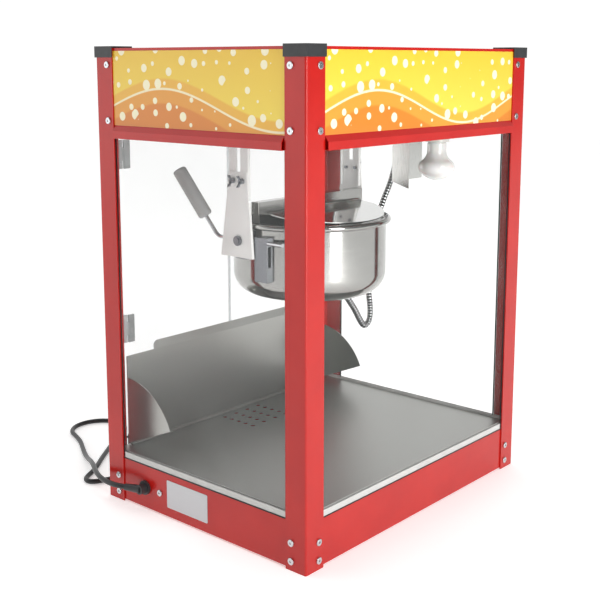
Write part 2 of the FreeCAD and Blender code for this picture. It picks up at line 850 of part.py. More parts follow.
lid_line = kettle_y - lid_axis_y
disc = bar(V(0, kettle_y, lid_axis_z - lid_sheet / 2), up, lid_radius, lid_sheet)
half_disc = disc.common(block(-lid_half, lid_half, kettle_y - lid_radius - 1, lid_line,
                              lid_axis_z - 5, lid_axis_z + 5))
lid_run = lid_line - (kettle_y - lid_radius)
lid_slope = math.degrees(math.asin((lid_axis_z - lid_edge_z) / lid_run))
hinge_line = V(0, lid_line, lid_axis_z)
lid_panel = half_disc.rotated(hinge_line, V(1, 0, 0), lid_slope)
lid_roll = bar(V(-lid_half, lid_line, lid_axis_z), V(1, 0, 0), lid_bead, 2 * lid_half)
lid_bore = [bar(V(sx * (lid_half + 1), lid_line, lid_axis_z), V(-sx, 0, 0),
                lid_pin + run_fit, lid_pin_long + 2) for sx in (-1, 1)]
lid_front = joined([lid_panel, lid_roll]).cut(lid_bore[0]).cut(lid_bore[1])
save("lid_front", lid_front)
save("lid_back", lid_front.rotated(axis, up, 180))


# Ears with the trunnion pins, and the strap that holds the lever

sink = bar(V(0, kettle_y, shell_bottom), up, shell_radius + run_fit, shell_top - shell_bottom)
lever_hole = bar(V(-lever_x, lever_front_y - 1, pivot_z), V(0, 1, 0),
                 lever_radius + run_fit, lever_bend_y - lever_front_y)
pin_long = hanger_x + plate_sheet - ear_out + 6
ear_body = block(-ear_out, -shell_radius + 12, pivot_y - ear_wide / 2, pivot_y + ear_wide / 2,
                 ear_low, ear_high).cut(sink)
pin = bar(V(-ear_out + 1, pivot_y, pivot_z), V(-1, 0, 0), pivot_radius, pin_long)
pin_head = bar(V(-hanger_x - plate_sheet - 1, pivot_y, pivot_z), V(-1, 0, 0),
               pivot_radius * 1.6, pivot_head)
plain_ear = joined([ear_body, pin, pin_head])
strap_room = block(-ear_out + strap_thick, -shell_radius, strap_y - strap_wide, strap_y + strap_wide,
                   strap_low + strap_window_low, strap_high - strap_window_top)
strap = block(-ear_out, -shell_radius + 4, strap_y - strap_wide / 2, strap_y + strap_wide / 2,
              strap_low, strap_high).cut(sink).cut(strap_room)
save_group("kettle_ears", [plain_ear.cut(lever_hole), mirrored(plain_ear), strap.cut(lever_hole)])


# Lever rod and grip

bend_point = V(-lever_x, lever_bend_y, pivot_z)
lever_way = (lever_end - bend_point).normalize()
back_way = V(0, 1, 0)
bend_half = back_way.getAngle(lever_way) / 2
bend_cut = lever_bend_radius * math.tan(bend_half)
bend_in = bend_point - back_way * bend_cut
bend_out = bend_point + lever_way * bend_cut
towards = (lever_way - back_way).normalize()
bend_middle = bend_point + towards * lever_bend_radius * (1 / math.cos(bend_half) - 1)
rod_end = lever_end - lever_way * grip_end
rod_wire = Part.Wire([line(V(-lever_x, lever_front_y, pivot_z), bend_in),
                      arc(bend_in, bend_middle, bend_out), line(bend_out, rod_end)])
rod_ring = Part.Wire([Part.Circle(V(-lever_x, lever_front_y, pivot_z), back_way,
                                  lever_radius).toShape()])
save("lever_rod", rod_wire.makePipeShell([rod_ring], True, False))

grip_start = lever_end - lever_way * grip_long
grip = bar(grip_start, lever_way, grip_radius, grip_long)
grip = grip.makeFillet(grip_radius * 0.4, [e for e in grip.Edges if e.Closed])
grip_bore = bar(grip_start - lever_way, lever_way, lever_radius + run_fit, grip_long - grip_end + 1)
save("lever_grip", grip.cut(grip_bore))


# Hangers, hanger plates and wing screws, built on the left and mirrored

hang_y0 = pivot_y - hanger_wide / 2
hang_y1 = pivot_y + hanger_wide / 2
wing_screw_ys = (pivot_y - wing_screw_spread / 2, pivot_y + wing_screw_spread / 2)
screw_bits = Part.makeCompound([
    bar(V(-hanger_x - 3, y, wing_screw_z), V(1, 0, 0), screw_radius + screw_play, 8)
    for y in wing_screw_ys])
web = block(-hanger_x, -hanger_x + hanger_sheet, hang_y0, hang_y1, hanger_low, ceiling_height)
slot = block(-hanger_x, -hanger_x + hanger_sheet, pivot_y - hanger_slot / 2,
             pivot_y + hanger_slot / 2, hanger_low + hanger_slot_low, ceiling_height - hanger_slot_top)
sides = [block(-hanger_x, -hanger_x + hanger_flange, y, y + hanger_sheet, hanger_low, ceiling_height)
         for y in (hang_y0, hang_y1 - hanger_sheet)]
foot = block(-hanger_x, -hanger_x + hanger_foot, hang_y0, hang_y1,
             ceiling_height - hanger_sheet, ceiling_height)
hanger = joined([web, foot] + sides).cut(slot).cut(screw_bits)
save_group("hangers", [hanger, mirrored(hanger)])

plate_x = -hanger_x - plate_sheet
sheet = prism([V(plate_x, plate_low_y[0], plate_low), V(plate_x, plate_low_y[1], plate_low),
               V(plate_x, plate_top_y[1], plate_top), V(plate_x, plate_top_y[0], plate_top)],
              V(plate_sheet, 0, 0))
fold_top = hanger_low - plate_fold_gap
fold_share = (fold_top - plate_low) / (plate_top - plate_low)
fold_y = plate_low_y[0] + (plate_top_y[0] - plate_low_y[0]) * fold_share
fold = prism([V(plate_x, plate_low_y[0], plate_low),
              V(plate_x, plate_low_y[0] + plate_sheet, plate_low),
              V(plate_x, fold_y + plate_sheet, fold_top),
              V(plate_x, fold_y, fold_top)],
             V(plate_sheet + plate_fold, 0, 0))
pivot_hole = bar(V(plate_x - 1, pivot_y, pivot_z), V(1, 0, 0), pivot_radius + run_fit, 4)
hanger_plate = joined([sheet, fold]).cut(pivot_hole).cut(screw_bits)
save_group("hanger_plates", [hanger_plate, mirrored(hanger_plate)])


def wing_screw(y):
    """A thumb screw: shank, collar and two wings."""
    out = V(-1, 0, 0)
    side = y - thumb_thick / 2
    shank = bar(V(-hanger_x + thumb_shank, y, wing_screw_z), out, screw_radius,
                thumb_shank + plate_sheet + 1)
    collar = bar(V(plate_x, y, wing_screw_z), out, thumb_collar_radius, thumb_collar)
    wings = [prism([V(plate_x - thumb_root, side, wing_screw_z),
                    V(plate_x - thumb_collar, side, wing_screw_z),
                    V(plate_x - thumb_tip_out, side, wing_screw_z + sz * thumb_tall),
                    V(plate_x - thumb_tip_in, side, wing_screw_z + sz * thumb_tall)],
                   V(0, thumb_thick, 0))
             for sz in (-1, 1)]
    return joined([shank, collar] + wings)


thumb = [wing_screw(y) for y in wing_screw_ys]
save_group("wing_screws", thumb + [mirrored(s) for s in thumb])


# Lamp

def lamp_at(r, z):
    """A point in the cut plane of the lamp."""
    return V(lamp_x + r, lamp_y, z)


def lamp_turn(r, z, radius, degrees):
    """A point on a circle about (r, z) in the cut plane of the lamp."""
    angle = math.radians(degrees)
    return lamp_at(r + radius * math.cos(angle), z + radius * math.sin(angle))


# The dome, the shoulder and the flare of the neck are arcs that run into each other smoothly
dome_z = bulb_bottom + bulb_dome
shoulder_r = bulb_radius - bulb_shoulder
shoulder_turn = -math.degrees(math.acos(shoulder_r / (bulb_dome - bulb_shoulder)))
shoulder_z = dome_z + (bulb_dome - bulb_shoulder) * math.sin(math.radians(shoulder_turn))
flare_cos = math.cos(math.radians(bulb_flare_angle))
flare_sin = math.sin(math.radians(bulb_flare_angle))
flare = (shoulder_r + bulb_shoulder * flare_cos - bulb_neck_radius) / (1 - flare_cos)
flare_r = bulb_neck_radius + flare
flare_z = shoulder_z + (bulb_shoulder + flare) * flare_sin
dome_end = lamp_turn(shoulder_r, shoulder_z, bulb_shoulder, shoulder_turn)
shoulder_end = lamp_turn(shoulder_r, shoulder_z, bulb_shoulder, bulb_flare_angle)
flare_end = lamp_at(bulb_neck_radius, flare_z)
bulb_edges = [
    line(lamp_at(0, bulb_base_top), lamp_at(0, bulb_bottom)),
    arc(lamp_at(0, bulb_bottom), lamp_turn(0, dome_z, bulb_dome, (shoulder_turn - 90) / 2), dome_end),
    arc(dome_end, lamp_turn(shoulder_r, shoulder_z, bulb_shoulder,
                            (shoulder_turn + bulb_flare_angle) / 2), shoulder_end),
    arc(shoulder_end, lamp_turn(flare_r, flare_z, flare, 180 + bulb_flare_angle / 2), flare_end),
    line(flare_end, lamp_at(bulb_neck_radius, bulb_neck_z)),
    line(lamp_at(bulb_neck_radius, bulb_neck_z), lamp_at(bulb_base_radius, bulb_neck_z + bulb_step)),
    line(lamp_at(bulb_base_radius, bulb_neck_z + bulb_step), lamp_at(bulb_base_radius, bulb_base_top)),
    line(lamp_at(bulb_base_radius, bulb_base_top), lamp_at(0, bulb_base_top)),
]
save("bulb", turned(bulb_edges, lamp_x, lamp_y))
holder = bar(V(lamp_x, lamp_y, holder_bottom), up, holder_radius, ceiling_height - holder_bottom)
socket = bar(V(lamp_x, lamp_y, holder_bottom), up, bulb_base_radius + seat,
             bulb_base_top + seat - holder_bottom)
save("lamp_holder", holder.cut(socket))

shield_front = shield_y - shield_depth
side_leaf = prism([V(shield_x, shield_y, ceiling_height), V(shield_x, shield_y, shield_low_back),
                   V(shield_x, shield_front, shield_low_front),
                   V(shield_x, shield_front, ceiling_height)], V(shield_sheet, 0, 0))
back_leaf = block(shield_x, shield_x + shield_width, shield_y, shield_y + shield_sheet,
                  shield_low_back, ceiling_height)
top_leaf = block(shield_x, shield_x + shield_width, shield_y, shield_y + shield_tab,
                 ceiling_height - shield_sheet, ceiling_height)
save("lamp_shield", joined([side_leaf, back_leaf, top_leaf]))


# Round tubes along a route

def smooth_route(points):
    """Straight runs joined by tangent arcs. Each arc takes 0.45 of the shorter run."""
    edges = []
    radii = []
    here = points[0]
    for k in range(1, len(points) - 1):
        before = points[k] - points[k - 1]
        after = points[k + 1] - points[k]
        cut = 0.45 * min(before.Length, after.Length)
        way_in = V(before).normalize()
        way_out = V(after).normalize()
        half_turn = way_in.getAngle(way_out) / 2
        radius = cut / math.tan(half_turn)
        start = points[k] - way_in * cut
        end = points[k] + way_out * cut
        inside = (way_out - way_in).normalize()
        middle = points[k] + inside * radius * (1 / math.cos(half_turn) - 1)
        edges.append(line(here, start))
        edges.append(arc(start, middle, end))
        radii.append(radius)
        here = end
    edges.append(line(here, points[-1]))
    return Part.Wire(edges), radii


def ring(centre, way, radius):
    """A circle square to a direction."""
    return Part.Wire([Part.Circle(centre, way, radius).toShape()])


# Flexible conduit: a ribbed tube with a bore, hung in a loop under the kettle

def conduit_point(aside, back, rise):
    """A point by its distance from the shell's wall and from the foot of the shell."""
    return V(shell_radius + aside, kettle_y + back, shell_bottom + rise)


conduit_points = [
    conduit_point(92, -20, kettle_hang), conduit_point(92, -20, kettle_hang * 0.915),
    conduit_point(92, -18, kettle_hang * 0.762), conduit_point(82, -15, kettle_hang * 0.603),
    conduit_point(58, -9, kettle_hang * 0.44), conduit_point(42, -4, kettle_hang * 0.266),
    conduit_point(35, -1, kettle_hang * 0.071), conduit_point(35, 0, -30),
    conduit_point(42, 0, -62), conduit_point(40, 0, -86), conduit_point(24, 0, -94),
    conduit_point(10, 0, -78), conduit_point(-3, 0, -58), conduit_point(-17, 0, -42),
    conduit_point(-30, 0, -27), conduit_point(-37, 0, -14), conduit_point(-37, 0, -seat)]
conduit_wire, conduit_radii = smooth_route(conduit_points)


def along_wire(wire, step):
    """Points and directions spread evenly along a wire, by length."""
    places = []
    total = wire.Length
    count = int(round(total / step))
    edges = wire.OrderedEdges
    ends = [0.0]
    for edge in edges:
        ends.append(ends[-1] + edge.Length)
    for k in range(count + 1):
        want = total * k / count
        n = 0
        while n < len(edges) - 1 and want > ends[n + 1]:
            n = n + 1
        run = min(max(want - ends[n], 0.0), edges[n].Length - 1e-6)
        at = edges[n].getParameterByLength(run)
        way = edges[n].tangentAt(at)
        places.append((edges[n].valueAt(at), way))
    return places


def steady_circle(centre, way, radius, side):
    """A circle square to a direction, with its seam turned to a steady side."""
    across = (side - way * side.dot(way)).normalize()
    circle = Part.makeCircle(radius)
    circle.Placement = FreeCAD.Placement(
        centre, FreeCAD.Rotation(across, way.cross(across), way, "ZXY"))
    return Part.Wire([circle])


def ribbed_tube(wire, radius, groove, bore, pitch):
    """Ribs and grooves in turn along a wire, with a bore through the middle."""
    side = V(0, 1, 0)
    places = along_wire(wire, pitch / 4)
    last = len(places) - 1
    outer = []
    inner = []
    for k, (centre, way) in enumerate(places):
        crest = k % 4 in (0, 1) or k in (0, last)
        outer.append(steady_circle(centre, way, radius if crest else radius - groove, side))
        if k % 4 == 0 or k == last:
            inner.append(steady_circle(centre, way, bore, side))
    return Part.makeLoft(outer, True, True).cut(Part.makeLoft(inner, True, True))


conduit = ribbed_tube(conduit_wire, conduit_radius, conduit_groove, conduit_bore, conduit_pitch)
print("conduit length", round(conduit_wire.Length), "least bend", round(min(conduit_radii), 1))
save("flexible_conduit", conduit)


# Switches, built in the middle of the back header

def switch_body(x):
    """A bezel on the panel with a body behind it and a well for the rocker."""
    bezel = block(x - bezel_half[0], x + bezel_half[0], face_y, face_y + bezel_thick,
                  switch_z - bezel_half[1], switch_z + bezel_half[1])
    body = block(x - body_half[0], x + body_half[0], face_y - body_deep, face_y,
                 switch_z - body_half[1], switch_z + body_half[1])
    well = block(x - well_half[0], x + well_half[0], face_y + bezel_thick - well_deep,
                 face_y + bezel_thick, switch_z - well_half[1], switch_z + well_half[1])
    hole = bar(V(x - well_half[0] - 1.3, face_y - rocker_axis_depth, switch_z), V(1, 0, 0),
               rocker_pin + run_fit, 2 * well_half[0] + 2.6)
    return joined([bezel, body]).cut(well).cut(hole)


def rocker(x):
    """A rocker with two sloping faces, pressed at its top."""
    wide = well_half[0] - rocker_side_play
    tall = well_half[1] - 3 * rocker_side_play
    centre_y = face_y - rocker_axis_depth
    nose = tall * math.tan(math.radians(rocker_tilt))
    face_plane = face_y + bezel_thick + 0.8
    profile = [V(x - wide, face_plane, switch_z),
               V(x - wide, face_plane + nose, switch_z + tall),
               V(x - wide, centre_y, switch_z + tall),
               V(x - wide, centre_y - 4.5, switch_z + 3),
               V(x - wide, centre_y - 4.5, switch_z - 3),
               V(x - wide, centre_y, switch_z - tall),
               V(x - wide, face_plane + nose, switch_z - tall)]
    body = prism(profile, V(2 * wide, 0, 0))
    pins = bar(V(x - wide - 1.2, centre_y, switch_z), V(1, 0, 0), rocker_pin, 2 * wide + 2.4)
    return joined([body, pins]).rotated(V(x, centre_y, switch_z), V(1, 0, 0), rocker_tilt)


switch_xs = {"rocker_heat": -switch_spacing, "rocker_stir": 0.0, "rocker_lamp": switch_spacing}
save_group("switch_bodies", [switch_body(x) for x in switch_xs.values()])
for name, x in switch_xs.items():
    save(name, rocker(x))
switch_cuts = Part.makeCompound([
    block(x - body_half[0] - screw_play, x + body_half[0] + screw_play, web_y - 1, face_y + 1,
          switch_z - body_half[1] - screw_play, switch_z + body_half[1] + screw_play)
    for x in switch_xs.values()])
save("header_back", about_z(header_front, 180).cut(drills).cut(switch_cuts))


# Kernel drawer

tray = block(-drawer_half, drawer_half, drawer_front_y, face_y + seat, drawer_floor,
             drawer_floor + drawer_tall)
tray_room = block(-drawer_half + drawer_sheet, drawer_half - drawer_sheet,
                  drawer_front_y + drawer_sheet, face_y + seat, drawer_floor + drawer_sheet,
                  drawer_floor + drawer_tall)
front = block(-drawer_half - drawer_face_over, drawer_half + drawer_face_over,
              face_y + seat, face_y + seat + panel_sheet,
              drawer_floor - seat * 4, drawer_floor + drawer_tall + drawer_face_over)
pull = bar(V(0, face_y + panel_sheet, drawer_floor + drawer_tall / 2), V(0, 1, 0),
           knob_radius / 2, drawer_pull / 2)
pull_head = bar(V(0, face_y + panel_sheet + drawer_pull / 2, drawer_floor + drawer_tall / 2),
                V(0, 1, 0), knob_radius, drawer_pull / 2)
save("kernel_drawer", joined([tray.cut(tray_room), front, pull, pull_head]))


# Cable gland

out_x = V(-1, 0, 0)
sleeve_way = V(-math.cos(math.radians(gland_turn)), math.sin(math.radians(gland_turn)), 0)
flange_face = -face_x - gland_flange
sleeve_start = V(flange_face - gland_sleeve_radius, gland_y, gland_z)
sleeve_tip = sleeve_start + sleeve_way * gland_sleeve
gland_flange_disc = bar(V(-face_x, gland_y, gland_z), out_x, gland_flange_radius, gland_flange)
gland_neck = bar(V(-web_x + 8, gland_y, gland_z), out_x, gland_neck_radius, face_x - web_x + 8)
gland_nut = bar(V(-web_x + 6, gland_y, gland_z), out_x, gland_flange_radius, 6 - seat)
gland_boss = bar(V(flange_face, gland_y, gland_z), out_x, gland_neck_radius,
                 gland_sleeve_radius + 4)
sleeve = Part.makeCone(gland_sleeve_radius, gland_tip_radius, gland_sleeve, sleeve_start, sleeve_way)
save("cable_gland", joined([gland_flange_disc, gland_neck, gland_nut, gland_boss, sleeve]))


# Power cord: the free stretch from the gland to the coil

layer_low = floor_gap + tie_sheet + seat + cord_radius
on_floor = floor_gap + cord_radius


def cord_point(aside, behind, z):
    """A point by its distance from the back left corner of the cabinet."""
    return V(aside - half_w, half_d + behind, z)


loop_reach = loop_radius / math.cos(math.radians(18))
loop_points = [cord_point(loop_aside + loop_reach * math.cos(math.radians(a)),
                          loop_behind + loop_reach * math.sin(math.radians(a)), on_floor)
               for a in range(180, -73, -36)]
coil_middle = cord_point(coil_aside, coil_behind, 0)
coil_start = coil_middle + V(-2 * cord_radius, -coil_radius, layer_low)
way_out = [cord_point(-25, -25, gland_z), cord_point(-20, -1, gland_z),
           cord_point(-8, 25, gland_z - 1), cord_point(8, 51, gland_z - 3),
           cord_point(24, 77, gland_z - 8), cord_point(41, 104, gland_z - 17),
           cord_point(59, 135, gland_z - 26), cord_point(77, 167, on_floor + 1.1),
           cord_point(95, 197, on_floor), cord_point(112, 225, on_floor)]
way_back = [cord_point(167, 188, on_floor), cord_point(142, 171.5, on_floor),
            cord_point(117, 153, on_floor), cord_point(86, 130, on_floor),
            cord_point(58, 107, on_floor), cord_point(35, 91, on_floor),
            cord_point(19, 83, on_floor), cord_point(7, 74, on_floor),
            cord_point(4, 61, on_floor), cord_point(14, 51, on_floor),
            cord_point(32, 45, on_floor), cord_point(52, 35, on_floor),
            cord_point(72, 23, on_floor + 0.4), cord_point(94, 14, layer_low - 0.2)]
cord_points = [sleeve_tip, sleeve_tip + sleeve_way * 18] + way_out + loop_points + way_back
cord_points = cord_points + [coil_start - V(2 * cord_radius, 0, 0), coil_start]
cord_wire, cord_radii = smooth_route(cord_points)
cord = cord_wire.makePipeShell([ring(cord_points[0], sleeve_way, cord_radius)], True, False)
section = math.pi * cord_radius ** 2
print("cord length", round(cord_wire.Length), "volume share",
      round(cord.Volume / (section * cord_wire.Length), 4))
print("cord radii", [round(r) for r in cord_radii])
save("power_cord", cord)


# Power cord: the rest, put away as a round coil in two layers

turn_step = 2 * cord_radius + coil_turn_gap
layer_step = 2 * cord_radius + coil_layer_gap
total_turns = coil_low_turns + coil_climb_turns + coil_high_turns
back_turn = coil_low_turns + coil_climb_turns / 2


def coil_place(turn):
    """Radius and height of the cord after a number of turns: in, up, and out again."""
    radius = coil_radius - turn_step * (back_turn - abs(turn - back_turn))
    share = min(max((turn - coil_low_turns) / coil_climb_turns, 0.0), 1.0)
    rise = (1 - math.cos(math.pi * share)) / 2
    return radius, layer_low + layer_step * rise


def coil_point(turn):
    """The middle of the cord after a number of turns."""
    radius, z = coil_place(turn)
    angle = 2 * math.pi * turn - math.pi / 2
    return coil_middle + V(radius * math.cos(angle), radius * math.sin(angle), z)


def coil_way(turn):
    """The cord's direction after a number of turns."""
    small = 0.001
    before = coil_point(max(turn - small, 0))
    after = coil_point(min(turn + small, total_turns))
    return (after - before).normalize()


def arc_from(a, way, b):
    """The arc that leaves a point along a direction and ends at another point."""
    chord = b - a
    flat = V(chord).normalize()
    aside = way - flat * way.dot(flat)
    if aside.Length < 1e-6:
        return line(a, b)
    half = way.getAngle(flat) / 2
    middle = a + chord * 0.5 + aside.normalize() * (chord.Length / 2 * math.tan(half))
    return arc(a, middle, b)


def biarc(a, way_a, b, way_b):
    """Two arcs that join two points with given directions."""
    chord = b - a
    both = way_a + way_b
    square = 2 * (way_a.dot(way_b) - 1)
    linear = -2 * chord.dot(both)
    constant = chord.dot(chord)
    if abs(square) < 1e-9:
        reach = -constant / linear
    else:
        root = math.sqrt(linear * linear - 4 * square * constant)
        reach = (-linear - root) / (2 * square)
    middle = (a + way_a * reach + b - way_b * reach) * 0.5
    way_middle = (b - way_b * reach - a - way_a * reach).normalize()
    return [arc_from(a, way_a, middle), arc_from(middle, way_middle, b)]


quarters = int(round(total_turns * 4))
stops = [q / 4 for q in range(quarters + 1)]
stop_points = [coil_point(t) for t in stops]
stop_ways = [coil_way(t) for t in stops]
stop_ways[0] = V(1, 0, 0)
stop_ways[-1] = V(0, 1, 0)
coil_edges = [line(coil_start, stop_points[0])]
for q in range(quarters):
    coil_edges.extend(biarc(stop_points[q], stop_ways[q], stop_points[q + 1], stop_ways[q + 1]))
tail = stop_points[-1] + stop_ways[-1] * cord_tail
coil_edges.append(line(stop_points[-1], tail))
coil_wire = Part.Wire(coil_edges)
coil = coil_wire.makePipeShell([ring(coil_start, V(1, 0, 0), cord_radius)], True, False)
print("coil length", round(coil_wire.Length), "volume share",
      round(coil.Volume / (section * coil_wire.Length), 4))
trail = along_wire(coil_wire, 3.0)
far = int(math.pi * cord_radius * 4 / 3.0)
least = min((trail[i][0] - trail[j][0]).Length
            for i in range(len(trail)) for j in range(i + far, len(trail)))
print("least gap of the coil to itself", round(least - 2 * cord_radius, 2))
save("power_cord_coil", coil)

tie_in = coil_place(back_turn)[0] - cord_radius - seat
tie_out = coil_place(back_turn - 1)[0] + cord_radius + seat
tie_high = layer_low + layer_step + cord_radius + seat
tie_half = tie_wide / 2
tie_room = block(coil_middle.x - tie_out, coil_middle.x - tie_in,
                 coil_middle.y - tie_half, coil_middle.y + tie_half,
                 floor_gap + tie_sheet, tie_high)
tie_band = block(coil_middle.x - tie_out - tie_sheet, coil_middle.x - tie_in + tie_sheet,
                 coil_middle.y - tie_half, coil_middle.y + tie_half, floor_gap, tie_high + tie_sheet)
save("cord_tie", tie_band.cut(tie_room))

plug_way = V(0, 1, 0)
sleeve_end = tail + plug_way * plug_sleeve
plug_body = block(tail.x - plug_half_wide, tail.x + plug_half_wide, sleeve_end.y,
                  sleeve_end.y + plug_long, tail.z - plug_half_tall, tail.z + plug_half_tall)
plug_body = plug_body.makeFillet(5.0, [e for e in plug_body.Edges if e.Length > plug_long - 1])
plug_sleeve_cone = Part.makeCone(gland_tip_radius, gland_sleeve_radius, plug_sleeve, tail, plug_way)
plug_pins = [bar(V(tail.x + sx * 9.5, sleeve_end.y + plug_long - 1, tail.z), plug_way,
                 2.0, plug_pin_long + 1) for sx in (-1, 1)]
save("mains_plug", joined([plug_body, plug_sleeve_cone] + plug_pins))
print("cord in all", round(cord_wire.Length + coil_wire.Length))
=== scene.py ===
# %% [markdown]
# This lesson dresses a cabinet popcorn maker. The machine's hard parts come from CAD as a fixed frame,
# so nothing here changes a size. Blender adds the finishes, the printed header panels, the rubber
# seals, which also stand in for the shadow in the gaps at the panes' edges, the ribbed conduit and the
# soft line of the power cord.

# %% Load the frame
import math
import bpy
import numpy as np
from mathutils import Matrix, Vector


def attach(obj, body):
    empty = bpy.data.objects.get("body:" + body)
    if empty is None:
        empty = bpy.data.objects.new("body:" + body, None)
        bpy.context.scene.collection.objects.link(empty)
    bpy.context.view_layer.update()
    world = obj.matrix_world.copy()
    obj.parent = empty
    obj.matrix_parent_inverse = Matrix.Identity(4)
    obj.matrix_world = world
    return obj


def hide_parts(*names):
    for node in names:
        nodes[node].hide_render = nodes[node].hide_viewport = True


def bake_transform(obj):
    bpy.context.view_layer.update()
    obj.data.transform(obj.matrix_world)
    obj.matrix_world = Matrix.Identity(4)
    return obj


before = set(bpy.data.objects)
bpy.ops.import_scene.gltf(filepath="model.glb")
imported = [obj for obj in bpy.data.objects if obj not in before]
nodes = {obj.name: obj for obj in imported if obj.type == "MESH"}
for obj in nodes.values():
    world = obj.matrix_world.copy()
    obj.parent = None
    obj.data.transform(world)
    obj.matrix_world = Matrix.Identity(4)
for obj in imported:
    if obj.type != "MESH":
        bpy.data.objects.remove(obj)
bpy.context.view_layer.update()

# %% [markdown]
# The camera stands in front of the left corner, a little below the machine's top. Its place and
# its lens could be guessed by eye. Here they come from a fit to the corners of the case, because
# then every piece lies where it should. A small shift keeps the upright edges nearly parallel.

# %% Camera
IMAGE_SIDE = 600.0
SENSOR_MM = 36.0
FOCAL_PX = 1051.5
CAMERA_PLACE = (-1.3105, -1.1080, 0.7061)
YAW = math.radians(48.7476)
PITCH = math.radians(9.6051)
SHIFT_UP = -0.10


def camera_matrix(place, yaw, pitch):
    """Columns are right, up and backwards. Forwards is yaw from +Y towards +X, then pitch down."""
    forward = Vector((math.sin(yaw) * math.cos(pitch), math.cos(yaw) * math.cos(pitch),
                      -math.sin(pitch)))
    right = Vector((math.cos(yaw), -math.sin(yaw), 0.0))
    up = right.cross(forward)
    turn = Matrix((right, up, -forward)).transposed().to_4x4()
    return Matrix.Translation(place) @ turn


camera_data = bpy.data.cameras.new("camera")
camera_data.sensor_width = SENSOR_MM
camera_data.lens = FOCAL_PX / IMAGE_SIDE * SENSOR_MM
camera_data.shift_y = SHIFT_UP
camera = bpy.data.objects.new("camera", camera_data)
bpy.context.scene.collection.objects.link(camera)
camera.matrix_world = camera_matrix(Vector(CAMERA_PLACE), YAW, PITCH)
bpy.context.scene.camera = camera
print("lens", round(camera_data.lens, 1), "mm")

# %% [markdown]
# The power cord is a black rubber lead. It leaves the gland, goes round the back corner, makes a
# wide loop on the floor and a tight turn, and the rest is put away in a small tied coil. It could
# be a swept mesh, but a curve with a round bevel stays easy to edit. A NURBS line of order 3 has
# the same control points as the CAD route, so it is smooth like a real lead.

# %% Power cord
CORD_MM = 8.4
CORD_WAY = [
    (-0.2986, 0.1513, 0.0370), (-0.3047, 0.1682, 0.0370), (-0.305, 0.190, 0.037),
    (-0.300, 0.214, 0.037), (-0.288, 0.240, 0.036), (-0.272, 0.266, 0.034),
    (-0.256, 0.292, 0.029), (-0.239, 0.319, 0.020), (-0.221, 0.350, 0.011),
    (-0.203, 0.382, 0.0055), (-0.185, 0.412, 0.0044), (-0.168, 0.440, 0.0044),
    (-0.1556, 0.470, 0.0044), (-0.1455, 0.5009, 0.0044), (-0.1192, 0.520, 0.0044),
    (-0.0868, 0.520, 0.0044), (-0.0605, 0.5009, 0.0044), (-0.0504, 0.470, 0.0044),
    (-0.0605, 0.4391, 0.0044), (-0.0868, 0.420, 0.0044), (-0.113, 0.403, 0.0044),
    (-0.138, 0.3865, 0.0044),
    (-0.163, 0.368, 0.0044), (-0.194, 0.345, 0.0044), (-0.222, 0.322, 0.0044),
    (-0.245, 0.306, 0.0044), (-0.261, 0.298, 0.0044), (-0.273, 0.289, 0.0044),
    (-0.276, 0.276, 0.0044), (-0.266, 0.266, 0.0044), (-0.248, 0.260, 0.0044),
    (-0.228, 0.250, 0.0044), (-0.208, 0.238, 0.0048), (-0.186, 0.229, 0.0055),
    (-0.1688, 0.227, 0.0057), (-0.1604, 0.227, 0.0057)]
COIL_CENTRE = (-0.152, 0.279)
COIL_RADIUS = 0.052
COIL_LOW = 0.0057
COIL_STEP = 0.0093
COIL_TURNS = 3.25
COIL_BACK = 1.75
COIL_PER_TURN = 24
COIL_CLIMB = 0.5
COIL_RUN_OUT = 0.0205
LINE_STEPS = 8


def coil_points():
    """Radius falls by a step each turn until the middle, then grows. Height climbs a layer there,
    along half a cosine wave."""
    turn = np.arange(1, int(COIL_TURNS * COIL_PER_TURN) + 1) / COIL_PER_TURN
    radius = COIL_RADIUS - COIL_STEP * (COIL_BACK - np.abs(turn - COIL_BACK))
    share = np.clip((turn - COIL_BACK) / COIL_CLIMB + 0.5, 0.0, 1.0)
    height = COIL_LOW + COIL_STEP * (1 - np.cos(math.pi * share)) / 2
    angle = 2 * math.pi * turn - math.pi / 2
    return np.column_stack([COIL_CENTRE[0] + radius * np.cos(angle),
                            COIL_CENTRE[1] + radius * np.sin(angle), height])


def nurbs_line(name, way, radius):
    """A curve object with one open NURBS spline of order 3, its control points and its radius."""
    curve = bpy.data.curves.new(name, "CURVE")
    curve.dimensions = "3D"
    curve.resolution_u = LINE_STEPS
    spline = curve.splines.new("NURBS")
    spline.points.add(len(way) - 1)
    spline.points.foreach_set("co", np.column_stack([way, np.ones(len(way))]).ravel())
    spline.points.foreach_set("radius", np.full(len(way), radius))
    spline.order_u = 3
    spline.use_endpoint_u = True
    thing = bpy.data.objects.new(name, curve)
    bpy.context.scene.collection.objects.link(thing)
    return thing


coil = coil_points()
coil_end = coil[-1] + np.array([0.0, COIL_RUN_OUT, 0.0])
cord_control = np.vstack([CORD_WAY, coil, coil_end])
cord = nurbs_line("cord_lead", cord_control, CORD_MM / 2000)
cord.data.bevel_depth = 1.0
cord.data.bevel_resolution = 5
cord.data.use_fill_caps = True
print("cord", len(cord_control), "control points")


# %% Points along the cord, and the cord joins the cabinet
def read_line(thing):
    """The points of a curve with no bevel, as Blender works them out."""
    mesh = bpy.data.meshes.new_from_object(thing)
    points = np.zeros(len(mesh.vertices) * 3)
    mesh.vertices.foreach_get("co", points)
    bpy.data.meshes.remove(mesh)
    return points.reshape(-1, 3)


bare = nurbs_line("bare_line", cord_control, 0.0)
cord_line = read_line(bare)
bpy.data.objects.remove(bare)
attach(cord, "cabinet")
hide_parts("power_cord", "power_cord_coil")

# %% [markdown]
# Every other new piece is a surface worked out with numpy: a ring of points, carried along a
# path. Modelling by hand would do for one piece, but a formula makes them all alike and exact.
# These helpers turn such rings into faces, close the two ends, and make the mesh.


